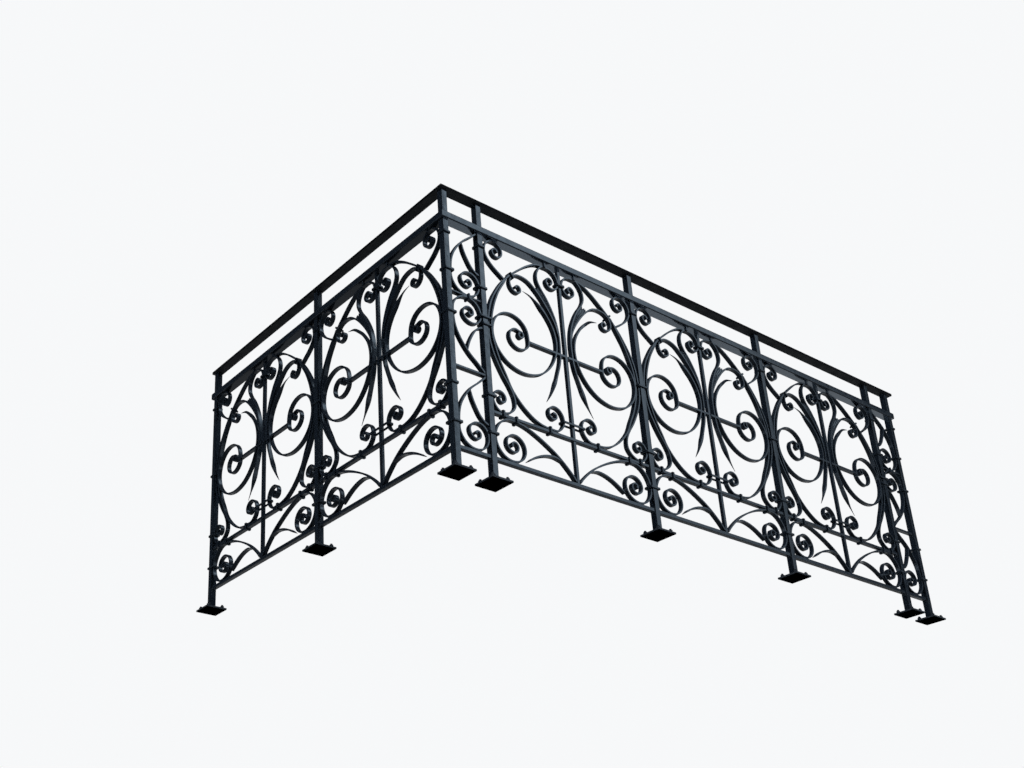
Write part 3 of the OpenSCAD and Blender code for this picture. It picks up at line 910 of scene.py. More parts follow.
@dataclass(frozen=True)
class WideHalf:
    """Half of the scrollwork of a wide bay, from its post to its middle bar.

    Attributes:
        seed: Number that sets the unevenness of its bars.
        bar_seed: What the seed grows by from bar to bar.
        tie_start: Where the tie to the middle bar starts, in the drawing.
        tie_t: Height of the tie.
        tie_arris: Radius of its arrises.
        hanger_start: Where the clip to the second rail starts, in the drawing.
        hanger_depth: Its depth behind its proud front.
        hanger_arris: Radius of its arrises.
        shoulder: Middle of the shoulder collar, in the drawing.
        shoulder_turn: Slope of the shoulder collar in degrees.
        shoulder_reach: Half of its length across the bars.
        shoulder_arris: Radius of its arrises.
        web_grid: Rows and columns of the web's grid.
        web_run: Length of the web that its chart counts.
        web_front: How far the ribs of the web stand before its middle.
        web_dip: How deep the grooves between its ribs are.
        web_ribs: How many ribs it has.
        web_lean: Ribs by which the pattern starts in, and by which it leans from foot to top.
        web_thin: How much thinner its front gets at the top.
        web_thins: Shares of its height between which it does.
        ragged_by: Share of its height by which the top is let down at most.
        ragged_wave: How many points the top has, and the share of one that it starts in.
        ragged_cut: Share of the letting down that the points are cut by.
    """

    seed: float = 0.0
    bar_seed: float = 1.7
    tie_start: Pair = (170, 287)
    tie_t: float = 9.0
    tie_arris: float = 1.2
    hanger_start: Pair = (266, 602)
    hanger_depth: float = 10.0
    hanger_arris: float = 1.6
    shoulder: Pair = (114, 514)
    shoulder_turn: float = 42.0
    shoulder_reach: float = 2 * SIZES.bar_t
    shoulder_arris: float = 2.0
    web_grid: tuple[int, int] = (28, 25)
    web_run: float = 180.0
    web_front: float = 7.2
    web_dip: float = 0.8
    web_ribs: float = 3.5
    web_lean: Pair = (0.25, 0.2)
    web_thin: float = 1.5
    web_thins: Pair = (0.9, 1.0)
    ragged_by: float = 0.10
    ragged_wave: Pair = (2.4, 0.15)
    ragged_cut: float = 0.45

    def web(self) -> Shell:
        """The web: both faces run between its two sides, with ribs along them and a ragged top.

        Each row is a straight mix of the two sides. The depth is the front of the ribs less the
        dip times one less a sine's size across the row. The top of the grid is let down by a sine
        with its own wave, which leaves ragged points.

        Returns:
            The closed plate.
        """
        rows, columns = self.web_grid
        v, u = np.meshgrid(np.linspace(0, 1, rows), np.linspace(0, 1, columns), indexing="ij")
        points, first = self.ragged_wave
        cut = self.ragged_cut * np.sin(2 * np.pi * (points * u + first) + self.seed)
        ragged = 1.0 - self.ragged_by * u * (1.0 - self.ragged_cut + cut)
        sides = []
        for side in WEB_SIDES:
            line = smooth(WIDE.placed(side), WEBBED, WEB_STEPS)
            share = run_of(line) / run_of(line)[-1]
            sides.append(np.stack([np.interp(v * ragged, share, line[:, k]) for k in (0, 1)], -1))
        plane = sides[0] * (1 - u[..., None]) + sides[1] * u[..., None]
        first, lean = self.web_lean
        rib = np.abs(np.sin(np.pi * (self.web_ribs * u + first + lean * v)))
        depth = self.web_front - self.web_dip * (1.0 - rib) - self.web_thin * ease(v, *self.web_thins)
        front = np.concatenate([plane[..., 0:1], -depth[..., None], plane[..., 1:2]], -1)
        back = front * np.array([1.0, -1.0, 1.0])
        sections = np.concatenate([front, back[:, ::-1]], 1)
        run = np.linspace(0.0, self.web_run, rows)
        return skin(sections, run, np.full(2 * columns, 0.5), period=0.0)

    def blocks(self) -> list[Shell]:
        """Make the tie, the clip under the second rail and the shoulder collar.

        Returns:
            The three blocks.
        """
        s = SIZES
        front = -s.bar_depth / 2 - s.collar_t
        tie, hanger, bound = WIDE.placed([self.tie_start, self.hanger_start, self.shoulder])
        reach = s.bay_pitch / 2 - s.centre_w / 2
        angle = math.radians(self.shoulder_turn + 90.0)
        arm = self.shoulder_reach * np.array([math.cos(angle), math.sin(angle)])
        return [
            stock(tie, (reach, tie[1]), self.tie_t, about(s.bar_depth), self.tie_arris),
            stock(hanger, (hanger[0], s.mid_z), s.collar_h, (front, front + self.hanger_depth),
                  self.hanger_arris),
            stock(bound - arm, bound + arm, s.collar_h, (front, -front), self.shoulder_arris),
        ]

    def shell(self) -> Shell:
        """Forge the six bars, and add the blocks and the web.

        Returns:
            The half bay, drawn from its post.
        """
        finishes = (
            (POST_CURL, End.CUT, End.SNUB), (LONG_BAR, End.CUT, End.SNUB), (OVAL_BAR, End.WELD, End.SNUB),
            (CROOK, End.WELD, End.SNUB), (SNAIL, End.LEAF, End.SNUB), (LEAF_BAR[::-1], End.LEAF, End.CUT))
        made = [snub(WIDE.placed(LONG_BAR)[0])]
        for k, (line, start, end) in enumerate(finishes):
            least = LEAF_STEPS if start is End.LEAF else BAR_STEPS
            made.append(forged(WIDE, line, (start, end), self.seed + self.bar_seed * k, least))
        return Shell.joined(made + self.blocks() + [self.web()])


@dataclass(frozen=True)
class BandHalf:
    """Half of the band of scrolls under the lower rail.

    Attributes:
        seed: Number that sets the unevenness of its bars.
        branch_seed: What the seed grows by for the branch.
    """

    seed: float = 0.0
    branch_seed: float = 2.1

    def shell(self) -> Shell:
        """Forge the long scroll and its branch.

        Returns:
            The half band, drawn from its post.
        """
        branch_seed = self.seed + self.branch_seed
        return Shell.joined([
            forged(BAND, BAND_MAIN, (End.CUT, End.SNUB), self.seed, BAR_STEPS),
            forged(BAND, BAND_BRANCH, (End.WELD, End.WELD), branch_seed, BRANCH_STEPS)])


@dataclass(frozen=True)
class NarrowPanel:
    """A narrow end panel: two units between the cross bar and the second rail, and one below.

    Attributes:
        seed: Number that sets the unevenness of its bars.
        unit_seeds: What the seed grows by for the upper, the upended and the foot unit.
        bar_seeds: What it grows by for the cross bar and the thin bar.
        branch_seed: What it grows by for the branch of a unit.
        arris: Radius of the arrises of the cross bar and the thin bar.
        strap_x: Place of the strap over the thin bar, in the drawing.
        strap_arris: Radius of its arrises.
    """

    seed: float = 0.0
    unit_seeds: Triple = (0.0, 5.3, 8.1)
    bar_seeds: Pair = (1.0, 2.0)
    branch_seed: float = 1.9
    arris: float = 1.2
    strap_x: float = 66.0
    strap_arris: float = 2.0

    def unit(self, room: Field, seed: float) -> Shell:
        """Forge the arc and the branch of one unit.

        Args:
            room: The clear field of the unit.
            seed: Number that sets the unevenness.

        Returns:
            The unit.
        """
        return Shell.joined([
            forged(room, NARROW_ARC, (End.CUT, End.SNUB), seed, BAR_STEPS),
            forged(room, NARROW_BRANCH, (End.WELD, End.CUT), seed + self.branch_seed, BRANCH_STEPS)])

    def shell(self) -> Shell:
        """Forge the units and add the bars between them and the strap.

        Returns:
            The panel, drawn from the corner post.
        """
        s = SIZES
        left, right = s.post_w / 2, s.narrow_pitch - s.post_w / 2
        up, upended, foot = (self.seed + more for more in self.unit_seeds)
        made = [self.unit(UPPER, up), self.unit(UPPER, upended).upended(s.upper_mid), self.unit(FOOT, foot)]
        for z, height, more in zip((s.cross_bar_z, s.upper_mid), (s.cross_t, s.bar_t), self.bar_seeds):
            seed = more + self.seed
            made.append(stock((left, z), (right, z), height, about(s.bar_depth), self.arris, False, seed))
        x, z = UPPER.placed([(self.strap_x, UPPER.low[1])])[0]
        rise = z + s.bar_t / 2 + s.collar_t - s.upper_mid
        proud = s.bar_depth / 2 + s.collar_t
        made.append(stock((x, s.upper_mid - rise), (x, s.upper_mid + rise), s.collar_h,
                          (-proud, proud), self.strap_arris))
        return Shell.joined(made)


@dataclass(frozen=True)
class Posts:
    """The square posts, each a shaft up to the second rail and a stub between the rails.

    Attributes:
        arris: Radius of their arrises.
        stub_seed: What the seed grows by for the stub.
    """

    arris: float = 1.6
    stub_seed: float = 1.0

    def shell(self, seed: float) -> Shell:
        """One post at the corner's place.

        Args:
            seed: Number that sets its unevenness.

        Returns:
            The shaft and the stub.
        """
        s = SIZES
        spans = ((s.foot_t, s.mid_z, seed), (s.mid_top, s.hand_z, seed + self.stub_seed))
        return Shell.joined([
            stock((0, low), (0, high), s.post_w, about(s.post_w), self.arris, False, number)
            for low, high, number in spans])

    def places(self) -> dict[str, tuple[Side, float]]:
        """Tell where the posts stand.

        Returns:
            Side and distance from the corner of each post, by the name of its node.
        """
        s = SIZES
        found = {"corner_post": (Side.FRONT, 0.0), "front_end_post": (Side.FRONT, s.front_end),
                 "left_end_post": (Side.LEFT, s.left_end)}
        for i, x in enumerate(s.front_posts, 1):
            found[f"front_post_{i}"] = (Side.FRONT, x)
        for i, x in enumerate(s.starts(Side.LEFT)[1:], 1):
            found[f"left_post_{i}"] = (Side.LEFT, x)
        return found


@dataclass(frozen=True)
class Rails:
    """The handrail, the second rail, and the flat bars between the posts.

    Attributes:
        crown_points: Points over the crown of the handrail.
        arris: Radius of the edges of the flat bars and of the lower edges of the handrail.
        soft: Radius of the upper edges of the handrail.
        inside: How far the crown stays below that of the solid.
        mitre_reach: Place of the first section past the mitre.
        sections: Sections from there to where the end starts to round.
        end_runs: Distances from the end of the last section that is whole and of the next.
        end_scales: Scales of the last two sections.
        seed_run: Length of a side over which the seed of a flat bar grows by one.
    """

    crown_points: int = 12
    arris: float = 1.2
    soft: float = 2.2
    inside: float = 0.02
    mitre_reach: float = 40.0
    sections: int = 30
    end_runs: Pair = (1.0, 0.3)
    end_scales: Pair = (0.985, 0.94)
    seed_run: float = 100.0

    def hand_profile(self) -> Array:
        """Work out the profile of the handrail: a flat bar under an arc of a circle.

        The circle's radius is half the width squared plus the crown squared, over twice the crown.

        Returns:
            The profile, as m x 2 of y and z.
        """
        s = SIZES
        half, edge = s.hand_w / 2, s.hand_t - s.hand_crown
        radius = (half ** 2 + s.hand_crown ** 2) / (2 * s.hand_crown)
        reach = math.asin((half - self.soft) / radius)
        angle = np.linspace(reach, -reach, self.crown_points)
        crown = np.stack([radius * np.sin(angle), s.hand_t - radius + radius * np.cos(angle)], 1)
        turn = np.radians([0.0, 30.0, 60.0])
        low = np.stack([half - self.arris * (1 - np.sin(turn)), self.arris * (1 - np.cos(turn))], 1)
        high = np.stack([half - self.soft * (1 - np.cos(turn)), edge - self.soft * (1 - np.sin(turn))], 1)
        side = np.concatenate([low, [[half, self.arris]], high])
        other = side[::-1] * np.array([-1.0, 1.0])
        return np.concatenate([side, crown, other]) + np.array([0.0, s.hand_z - self.inside])

    def mid_profile(self) -> Array:
        """Work out the profile of the second rail: a rectangle with quarter circles at its corners.

        Returns:
            The profile, as m x 2 of y and z.
        """
        s = SIZES
        section = squared(np.array([s.mid_h / 2]), np.array([s.mid_w / 2]), s.mid_round)[0]
        return section[:, ::-1] + np.array([0.0, s.mid_z + s.mid_h / 2])

    def mitred(self, profile: Array, length: float, turns: Array, period: float) -> Shell:
        """Carry a profile along +X from the mitre, where x equals y, to a softened end.

        Args:
            profile: The profile, as m x 2 of y and z.
            length: Place of its end.
            turns: Place round the profile of each point.
            period: How much the last point adds to reach the first.

        Returns:
            The closed rail.
        """
        middle = (profile.max(axis=0) + profile.min(axis=0)) / 2
        whole, cut = self.end_runs
        even = np.linspace(self.mitre_reach, length - whole, self.sections)
        x = np.concatenate([even, [length - cut, length]])
        scale = np.ones_like(x)
        scale[-2:] = self.end_scales
        ring_points = middle + (profile - middle) * scale[:, None, None]
        rows = np.concatenate([np.repeat(x[:, None, None], len(profile), 1), ring_points], -1)
        start = np.column_stack([profile[:, 0], profile])[None]
        return skin(np.concatenate([start, rows]), np.concatenate([[0.0], x]), turns, period=period)

    def hand(self, length: float) -> Shell:
        """The handrail of a side."""
        profile = self.hand_profile()
        return self.mitred(profile, length, np.full(len(profile), 0.5), 0.0)

    def mid(self, length: float) -> Shell:
        """The second rail of a side."""
        return self.mitred(self.mid_profile(), length, TURNS, 4.0)

    def flats(self, starts: Sequence[float], pitch: float, low: float, height: float) -> Shell:
        """Flat bars between the faces of neighbouring posts.

        Args:
            starts: Places of the posts that they start from.
            pitch: Spacing of the posts.
            low: Level of their underside.
            height: Their height.

        Returns:
            The bars.
        """
        s = SIZES
        level = low + height / 2
        return Shell.joined([
            stock((x + s.post_w / 2, level), (x + pitch - s.post_w / 2, level), height, about(s.flat_depth),
                  self.arris, False, 1.0 + x / self.seed_run) for x in starts])

    def middle_bar(self, seed: float) -> Shell:
        """Make the thin square bar in the middle of a wide bay.

        Args:
            seed: Number that sets its unevenness.

        Returns:
            The bar, drawn from the bay's post.
        """
        s, x = SIZES, SIZES.bay_pitch / 2
        low, high = (x, s.bottom_rail_z), (x, s.mid_z)
        return stock(low, high, s.centre_w, about(s.centre_w), self.arris, False, seed)


@dataclass(frozen=True)
class Collars:
    """The collars round the posts and the middle bars, and the clips on the lower rail.

    Attributes:
        hold: How near a bar lies to what it is bound to.
        slack: Room past the outermost bar.
        arris: Radius of the arrises of the collars.
        wide_levels: Levels in the wide drawing where bars are bound to a post.
        band_level: The same in the band.
        middle_levels: Levels in the wide drawing where volutes are bound to the middle bar.
        volute_level: Level in a narrow unit where its volute is bound to a post.
        belly_level: Level in a narrow unit where the belly of its arc is bound to a post.
        long_clip: Place in the wide drawing of the clip of the long bar.
        oval_clip: Place in the wide drawing of the clip of the oval bar.
        band_clip: Place in the band of its clip.
        collar_run: Height over which the seed of a collar grows by one.
        clip_run: Length over which the seed of a clip grows by one.
    """

    hold: float = 5.0
    slack: float = 1.2
    arris: float = 1.0
    wide_levels: tuple[float, ...] = (573, 287, 42)
    band_level: float = 90.0
    middle_levels: tuple[float, ...] = (558, 40)
    volute_level: float = 56.0
    belly_level: float = 76.0
    long_clip: float = 36.0
    oval_clip: float = 229.0
    band_clip: float = 94.0
    collar_run: float = 31.0
    clip_run: float = 23.0

    def crossings(self, lines: Sequence[Array], level: float, axis: int = 1) -> Array:
        """Where lines cross a level, or an upright when the axis is 0.

        Args:
            lines: The lines.
            level: The level, or the place of the upright.
            axis: Which coordinate the level is one of.

        Returns:
            The other coordinate at every crossing.
        """
        a = np.concatenate([line[:-1] for line in lines])
        b = np.concatenate([line[1:] for line in lines])
        below, above, other = a[:, axis], b[:, axis], 1 - axis
        cross = ((below - level) * (above - level) <= 0) & (below != above)
        a, b, below, above = a[cross], b[cross], below[cross], above[cross]
        return a[:, other] + (b[:, other] - a[:, other]) * (level - below) / (above - below)

    def reach(self, lines: Sequence[Array], level: float) -> float:
        """Tell how far out from a post the bars that lie against it, or each other, reach at a level.

        Args:
            lines: The middle lines of the bars on one side of the post.
            level: The level.

        Returns:
            The distance from the middle of the post, with some slack where there is a bar.
        """
        s = SIZES
        reach = s.post_w / 2
        xs = self.crossings(lines, level) if lines else np.zeros(0)
        while True:
            near = xs[(xs > reach) & (xs - s.bar_t / 2 - reach < self.hold)]
            if not len(near):
                break
            reach = float(near.max()) + s.bar_t / 2
        return reach + self.slack if reach > s.post_w / 2 else reach

    def loop(self, low: Pair, high: Pair, seed: float) -> Array:
        """Bend a collar round a rectangle, with its clearance.

        Args:
            low: Lowest corner of the rectangle.
            high: Highest corner.
            seed: Number that sets its unevenness.

        Returns:
            Its sections, as n x 16 x 3.
        """
        s = SIZES
        inner = np.array(low) - s.collar_clear, np.array(high) + s.collar_clear
        return ring(*inner, s.collar_t, s.collar_h, self.arris, seed)

    def collar(self, level: float, left: float, right: float, front: float, back: float) -> Shell:
        """A collar round a post or a middle bar at a level, by how far its inside reaches each way."""
        sections = self.loop((-left, -front), (right, back), level / self.collar_run)
        return ring_shell(sections).moved(z=level)

    def clip(self, x: float, low: float, high: float) -> Shell:
        """A clip round the lower rail and a bar that lies against it.

        Args:
            x: Its place along the rail.
            low: How far down its inside reaches.
            high: How far up.

        Returns:
            The clip.
        """
        half = max(SIZES.flat_depth, SIZES.bar_depth) / 2
        sections = self.loop((-half, low), (half, high), x / self.clip_run)
        return ring_shell(sections[..., [2, 0, 1]]).moved(x)

    def side_lines(self) -> tuple[list[Array], list[Array], list[Array]]:
        """Work out the middle lines of the bars beside a post.

        Returns:
            Those of a wide bay, those of a narrow panel on the side of its bellies, and those on the
            side of its volutes.
        """
        s = SIZES
        wide = [WIDE.placed(line) for line in WIDE_LINES] + [BAND.placed(smooth(BAND_MAIN))]
        arc = smooth(NARROW_ARC)
        upper, foot = UPPER.placed(arc), FOOT.placed(arc)
        down = upper * np.array([1.0, -1.0]) + np.array([0.0, 2 * s.upper_mid])
        belly = [upper, down, foot]
        volute = [line * np.array([-1.0, 1.0]) + np.array([s.narrow_pitch, 0.0]) for line in belly]
        return wide, belly, volute

    def wide_heights(self) -> list[float]:
        """Heights of the collars where wide bays meet a post."""
        return [WIDE.level(y) for y in self.wide_levels] + [BAND.level(self.band_level)]

    def narrow_heights(self, level: float) -> list[float]:
        """Heights of a level of the drawing in the upper, the upended and the foot unit."""
        up = UPPER.level(level)
        return [up, 2 * SIZES.upper_mid - up, FOOT.level(level)]

    def on_post(self, heights: Sequence[float], left: Sequence[Array], right: Sequence[Array],
                behind: Sequence[Array] = ()) -> Shell:
        """The collars of one post.

        Args:
            heights: Their heights.
            left: Lines on its left.
            right: Lines on its right.
            behind: Lines of the other side of the railing, at the corner.

        Returns:
            The collars, drawn round the corner's place.
        """
        half = SIZES.post_w / 2
        return Shell.joined([
            self.collar(z, self.reach(left, z), self.reach(right, z), half, self.reach(behind, z))
            for z in heights])

    def in_bay(self) -> Shell:
        """Make the collars on the middle bar of a wide bay, and its clips.

        Returns:
            The collars and clips, drawn from the bay's post.
        """
        s = SIZES
        *wide, band = self.side_lines()[0]
        made = []
        for y in self.middle_levels:
            z = WIDE.level(y)
            reach = s.bay_pitch / 2 - float(self.crossings(wide, z).max()) + s.bar_t / 2 + self.slack
            made.append(self.collar(z, reach, reach, s.bar_depth / 2, s.bar_depth / 2).moved(s.bay_pitch / 2))
        clips = []
        for line, place in ((LONG_BAR, self.long_clip), (OVAL_BAR, self.oval_clip)):
            x = WIDE.across(place)
            top = float(self.crossings([WIDE.placed(smooth(line))], x, 0).min())
            clips.append(self.clip(x, s.lower_z, top + s.bar_t / 2 + self.slack / 2))
        x = BAND.across(self.band_clip)
        under = float(self.crossings([band], x, 0).max())
        clips.append(self.clip(x, under - s.bar_t / 2 - self.slack / 2, s.lower_rail_z))
        half = Shell.joined(clips)
        return Shell.joined(made + [half, half.mirrored(s.bay_pitch)])

    def front(self) -> Shell:
        """Make all the collars of the front side but the corner's.

        Returns:
            The collars, in their places.
        """
        s = SIZES
        wide, belly, volute = self.side_lines()
        heights = self.wide_heights()
        near = heights + self.narrow_heights(self.volute_level)[:2]
        end = [heights[0], heights[2]] + self.narrow_heights(self.belly_level)
        bay, between = self.in_bay(), self.on_post(heights, wide, wide)
        return Shell.joined(
            [bay.moved(x) for x in s.starts(Side.FRONT)] + [between.moved(x) for x in s.front_posts[1:-1]]
            + [self.on_post(near, volute, wide).moved(s.front_posts[0]),
               self.on_post(near, wide, volute).moved(s.front_posts[-1]),
               self.on_post(end, belly, []).moved(s.front_end)])

    def left(self) -> Shell:
        """Make all the collars of the left side but the corner's.

        Returns:
            The collars, in their places.
        """
        s = SIZES
        wide = self.side_lines()[0]
        heights, starts = self.wide_heights(), s.starts(Side.LEFT)
        bay, between = self.in_bay(), self.on_post(heights, wide, wide)
        made = [bay.moved(x) for x in starts] + [between.moved(x) for x in starts[1:]]
        made.append(self.on_post(heights, wide, []).moved(s.left_end))
        return Shell.joined(made).on_left()

    def corner(self) -> Shell:
        """Make the collars of the corner post.

        Returns:
            The collars, in their places.
        """
        wide, belly = self.side_lines()[:2]
        heights = self.wide_heights() + self.narrow_heights(self.belly_level)[:1]
        return self.on_post(heights, [], belly, wide)


@dataclass(frozen=True)
class Anchors:
    """The anchors of the foot plates and the beads that weld the posts to them.

    Attributes:
        washer_r: Radius of a washer.
        washer_t: Its thickness.
        washer_low: How far its lower edge is softened, inwards and upwards.
        washer_high: How far its upper edge is, inwards and downwards.
        nut_flats: Width of a nut across its flats.
        nut_h: Its height.
        nut_cuts: Heights of its lower and its upper chamfer.
        stud_r: Radius of a stud.
        stud_top: How far the stud stands over the nut.
        stud_points: Points in a circle of a stud.
        pitch: Spacing of the thread.
        thread_deep: Depth of the thread.
        thread_end: How far under the top the thread ends.
        tip_cut: Height of the chamfer of the top.
        tip_in: How far the chamfer's lower and upper edge stand in.
        shank_in: How much thinner the shank in the plate is.
        shank_up: How far its end stays over the underside of the plate.
        bead: Thickness of the weld bead.
        bead_sunk: Share of it that lies inside the faces of the post.
        bead_round: Share of it that its arrises are rounded by.
        bead_lift: Share of it by which its middle stands over the plate.
    """

    washer_r: float = 8.0
    washer_t: float = 1.6
    washer_low: Pair = (0.2, 0.15)
    washer_high: Pair = (0.25, 0.2)
    nut_flats: float = 13.0
    nut_h: float = 6.5
    nut_cuts: Pair = (0.5, 0.6)
    stud_r: float = 4.0
    stud_top: float = 5.0
    stud_points: int = 16
    pitch: float = 1.25
    thread_deep: float = 0.5
    thread_end: float = 0.6
    tip_cut: float = 0.3
    tip_in: Pair = (0.5, 1.2)
    shank_in: float = 0.4
    shank_up: float = 0.5
    bead: float = 4.0
    bead_sunk: float = 0.3
    bead_round: float = 0.48
    bead_lift: float = 0.1

    def anchor(self) -> Shell:
        """One washer, nut and threaded stud, standing on the plate's top at the origin.

        The thread is a row of grooves: the stud's radius less half the depth of the thread, plus a
        cosine of that size along it, four steps to the pitch.

        Returns:
            The three closed pieces.
        """
        base = np.array([0.0, 0.0, SIZES.foot_t])
        w, t, h, r, half = self.washer_r, self.washer_t, self.nut_h, self.stud_r, self.nut_flats / 2
        low, high = self.washer_low, self.washer_high
        washer = spool(base, [0.0, low[1], t - high[1], t], [w - low[0], w, w, w - high[0]])
        corner = half / math.cos(math.pi / 6)
        nut = spool(base + np.array([0.0, 0.0, t]), [0.0, self.nut_cuts[0], h - self.nut_cuts[1], h],
                    [half, corner, corner, half], flats=6, apothem=half)
        top = t + h + self.stud_top
        levels = np.arange(t + h - self.pitch, top - self.thread_end, self.pitch / 4)
        groove = self.thread_deep / 2
        thread = r - groove + groove * np.cos(2 * np.pi * levels / self.pitch)
        levels = np.concatenate([[-SIZES.foot_t + self.shank_up], levels, [top - self.tip_cut, top]])
        radii = np.concatenate([[r - self.shank_in], thread, [r - inwards for inwards in self.tip_in]])
        return Shell.joined([washer, nut, spool(base, levels, radii, count=self.stud_points)])

    def foot(self, seed: float) -> Shell:
        """The four anchors and the weld bead of one foot.

        Args:
            seed: Number that sets the unevenness of the bead.

        Returns:
            The pieces, round the corner's place.
        """
        s = SIZES
        one, half = self.anchor(), s.hole_pitch / 2
        made = [one.moved(x, y) for x in (-half, half) for y in (-half, half)]
        inner = s.post_w / 2 - self.bead_sunk * self.bead
        bead = ring((-inner, -inner), (inner, inner), self.bead, self.bead, self.bead_round * self.bead, seed)
        made.append(ring_shell(bead).moved(z=s.foot_t + self.bead_lift * self.bead))
        return Shell.joined(made)


Socket = bpy.types.NodeSocket


@dataclass(frozen=True)
class Grain:
    """A pattern of noise that goes from nothing to full.

    Attributes:
        scale: How many blotches there are to the metre, roughly.
        detail: Octaves of finer noise.
        low: Noise up to which there is nothing.
        high: Noise from which it is full.
    """

    scale: float
    detail: float
    low: float
    high: float


class NodeTree:
    """A short way to add and join shader nodes."""

    def __init__(self, tree: bpy.types.NodeTree) -> None:
        """Keep the node tree of a material or of the world, and clear it."""
        self.tree = tree
        self.tree.nodes.clear()

    def add(self, kind: str, **values: object) -> bpy.types.Node:
        """Add a node and set its properties.

        Args:
            kind: The node's type, such as ShaderNodeMix.
            values: Properties of the node by name.

        Returns:
            The new node.
        """
        node = self.tree.nodes.new(kind)
        for name, value in values.items():
            setattr(node, name, value)
        return node

    def join(self, source: Socket, target: Socket) -> None:
        """Link an output socket to an input socket."""
        self.tree.links.new(source, target)

    def noise(self, vector: Socket, scale: float, detail: float,
              stretch: Triple = (1.0, 1.0, 1.0)) -> Socket:
        """Add noise on a vector.

        Args:
            vector: The coordinates.
            scale: How many blotches there are to the metre, roughly.
            detail: Octaves of finer noise.
            stretch: How much the pattern is pressed together along each axis.

        Returns:
            The noise value from 0 to 1.
        """
        mapping = self.add("ShaderNodeMapping")
        mapping.inputs["Scale"].default_value = stretch
        self.join(vector, mapping.inputs["Vector"])
        noise = self.add("ShaderNodeTexNoise")
        noise.inputs["Scale"].default_value = scale
        noise.inputs["Detail"].default_value = detail
        self.join(mapping.outputs["Vector"], noise.inputs["Vector"])
        return noise.outputs["Fac"]

    def math(self, kind: str, *values: Socket | float) -> Socket:
        """Add a sum of one or two values.

        Args:
            kind: The operation, such as MULTIPLY.
            values: Sockets or plain numbers.

        Returns:
            The result.
        """
        node = self.add("ShaderNodeMath", operation=kind)
        for socket, value in zip(node.inputs, values):
            if isinstance(value, (int, float)):
                socket.default_value = value
            else:
                self.join(value, socket)
        return node.outputs["Value"]

    def parts(self, vector: Socket) -> list[Socket]:
        """Split a vector.

        Args:
            vector: The vector.

        Returns:
            Its x, y and z.
        """
        node = self.add("ShaderNodeSeparateXYZ")
        self.join(vector, node.inputs["Vector"])
        return list(node.outputs)

    def rays(self, *kinds: str) -> Socket:
        """Tell whether a ray is of one of some kinds.

        Args:
            kinds: Names of outputs of the light path.

        Returns:
            1 for a ray of one of the kinds, else 0.
        """
        path = self.add("ShaderNodeLightPath")
        found = path.outputs[kinds[0]]
        for kind in kinds[1:]:
            found = self.math("MAXIMUM", found, path.outputs[kind])
        return found

    def ramp(self, value: Socket, low: float, high: float,
             to_low: float = 0.0, to_high: float = 1.0) -> Socket:
        """Map a range of a value onto another range, clamped.

        Args:
            value: The value to map.
            low: Value that becomes to_low.
            high: Value that becomes to_high.
            to_low: Lower end of the result.
            to_high: Upper end of the result.

        Returns:
            The mapped value.
        """
        node = self.add("ShaderNodeMapRange")
        for name, number in (("From Min", low), ("From Max", high), ("To Min", to_low), ("To Max", to_high)):
            node.inputs[name].default_value = number
        self.join(value, node.inputs["Value"])
        return node.outputs["Result"]

    def grain(self, vector: Socket, grain: Grain, least: float = 0.0, most: float = 1.0) -> Socket:
        """Add a pattern on a vector, with the least where there is nothing of it, and the most."""
        noise = self.noise(vector, grain.scale, grain.detail)
        return self.ramp(noise, grain.low, grain.high, least, most)

    def blend(self, factor: Socket, first: Socket | Colour, second: Socket | Colour) -> Socket:
        """Mix two colours by a factor.

        Args:
            factor: 0 gives the first colour and 1 the second.
            first: A colour or a colour socket.
            second: A colour or a colour socket.

        Returns:
            The mixed colour.
        """
        node = self.add("ShaderNodeMix", data_type="RGBA")
        self.join(factor, node.inputs["Factor"])
        for name, colour in (("A", first), ("B", second)):
            socket = [s for s in node.inputs if s.name == name and s.type == "RGBA"][0]
            if isinstance(colour, tuple):
                socket.default_value = (*colour, 1.0)
            else:
                self.join(colour, socket)
        return [s for s in node.outputs if s.type == "RGBA"][0]

    def bump(self, height: Socket, distance: float, under: Socket | None = None) -> Socket:
        """Add a bump on top of another.

        Args:
            height: The height from 0 to 1.
            distance: What a height of 1 stands for, in metres.
            under: Normal of the bump under it, if any.

        Returns:
            The bent normal.
        """
        node = self.add("ShaderNodeBump")
        node.inputs["Distance"].default_value = distance
        self.join(height, node.inputs["Height"])
        if under is not None:
            self.join(under, node.inputs["Normal"])
        return node.outputs["Normal"]


    def mix(self, factor: Socket, first: Socket, second: Socket) -> Socket:
        """Mix two shaders by a factor.

        Args:
            factor: 0 gives the first shader and 1 the second.
            first: A shader.
            second: A shader.

        Returns:
            The mixed shader.
        """
        node = self.add("ShaderNodeMixShader")
        for value, socket in zip((factor, first, second), node.inputs):
            self.join(value, socket)
        return node.outputs["Shader"]

    def show(self, kind: str, surface: Socket) -> None:
        """Send a surface to an output node of a kind."""
        self.join(surface, self.add(kind).inputs["Surface"])


PAINT_IOR = 1.85
PAINT_TINT = (0.66, 0.82, 1.0, 1.0)
RUST = (0.10, 0.035, 0.012)

# Patterns of the thin paint, of specks of dust, of the dull spots, of the worn spots and of lying dust
BLOTCHES = Grain(9.0, 4.0, 0.35, 0.7)
SPECKS = Grain(130.0, 2.0, 0.66, 0.8)
DULL_SPOTS = Grain(38.0, 3.0, 0.3, 0.7)
WORN_SPOTS = Grain(55.0, 4.0, 0.30, 0.60)
LYING_DUST = Grain(24.0, 5.0, 0.35, 0.65)

# Scale and detail of the noise of the hammer marks and of the rust, and of the streaks with their
# stretch on the chart
HAMMER_MARKS = (75.0, 1.5)
RUST_SPOTS = (45.0, 5.0)
STREAKS = (1.0, 4.0, (26.0, 7.0, 1.0))
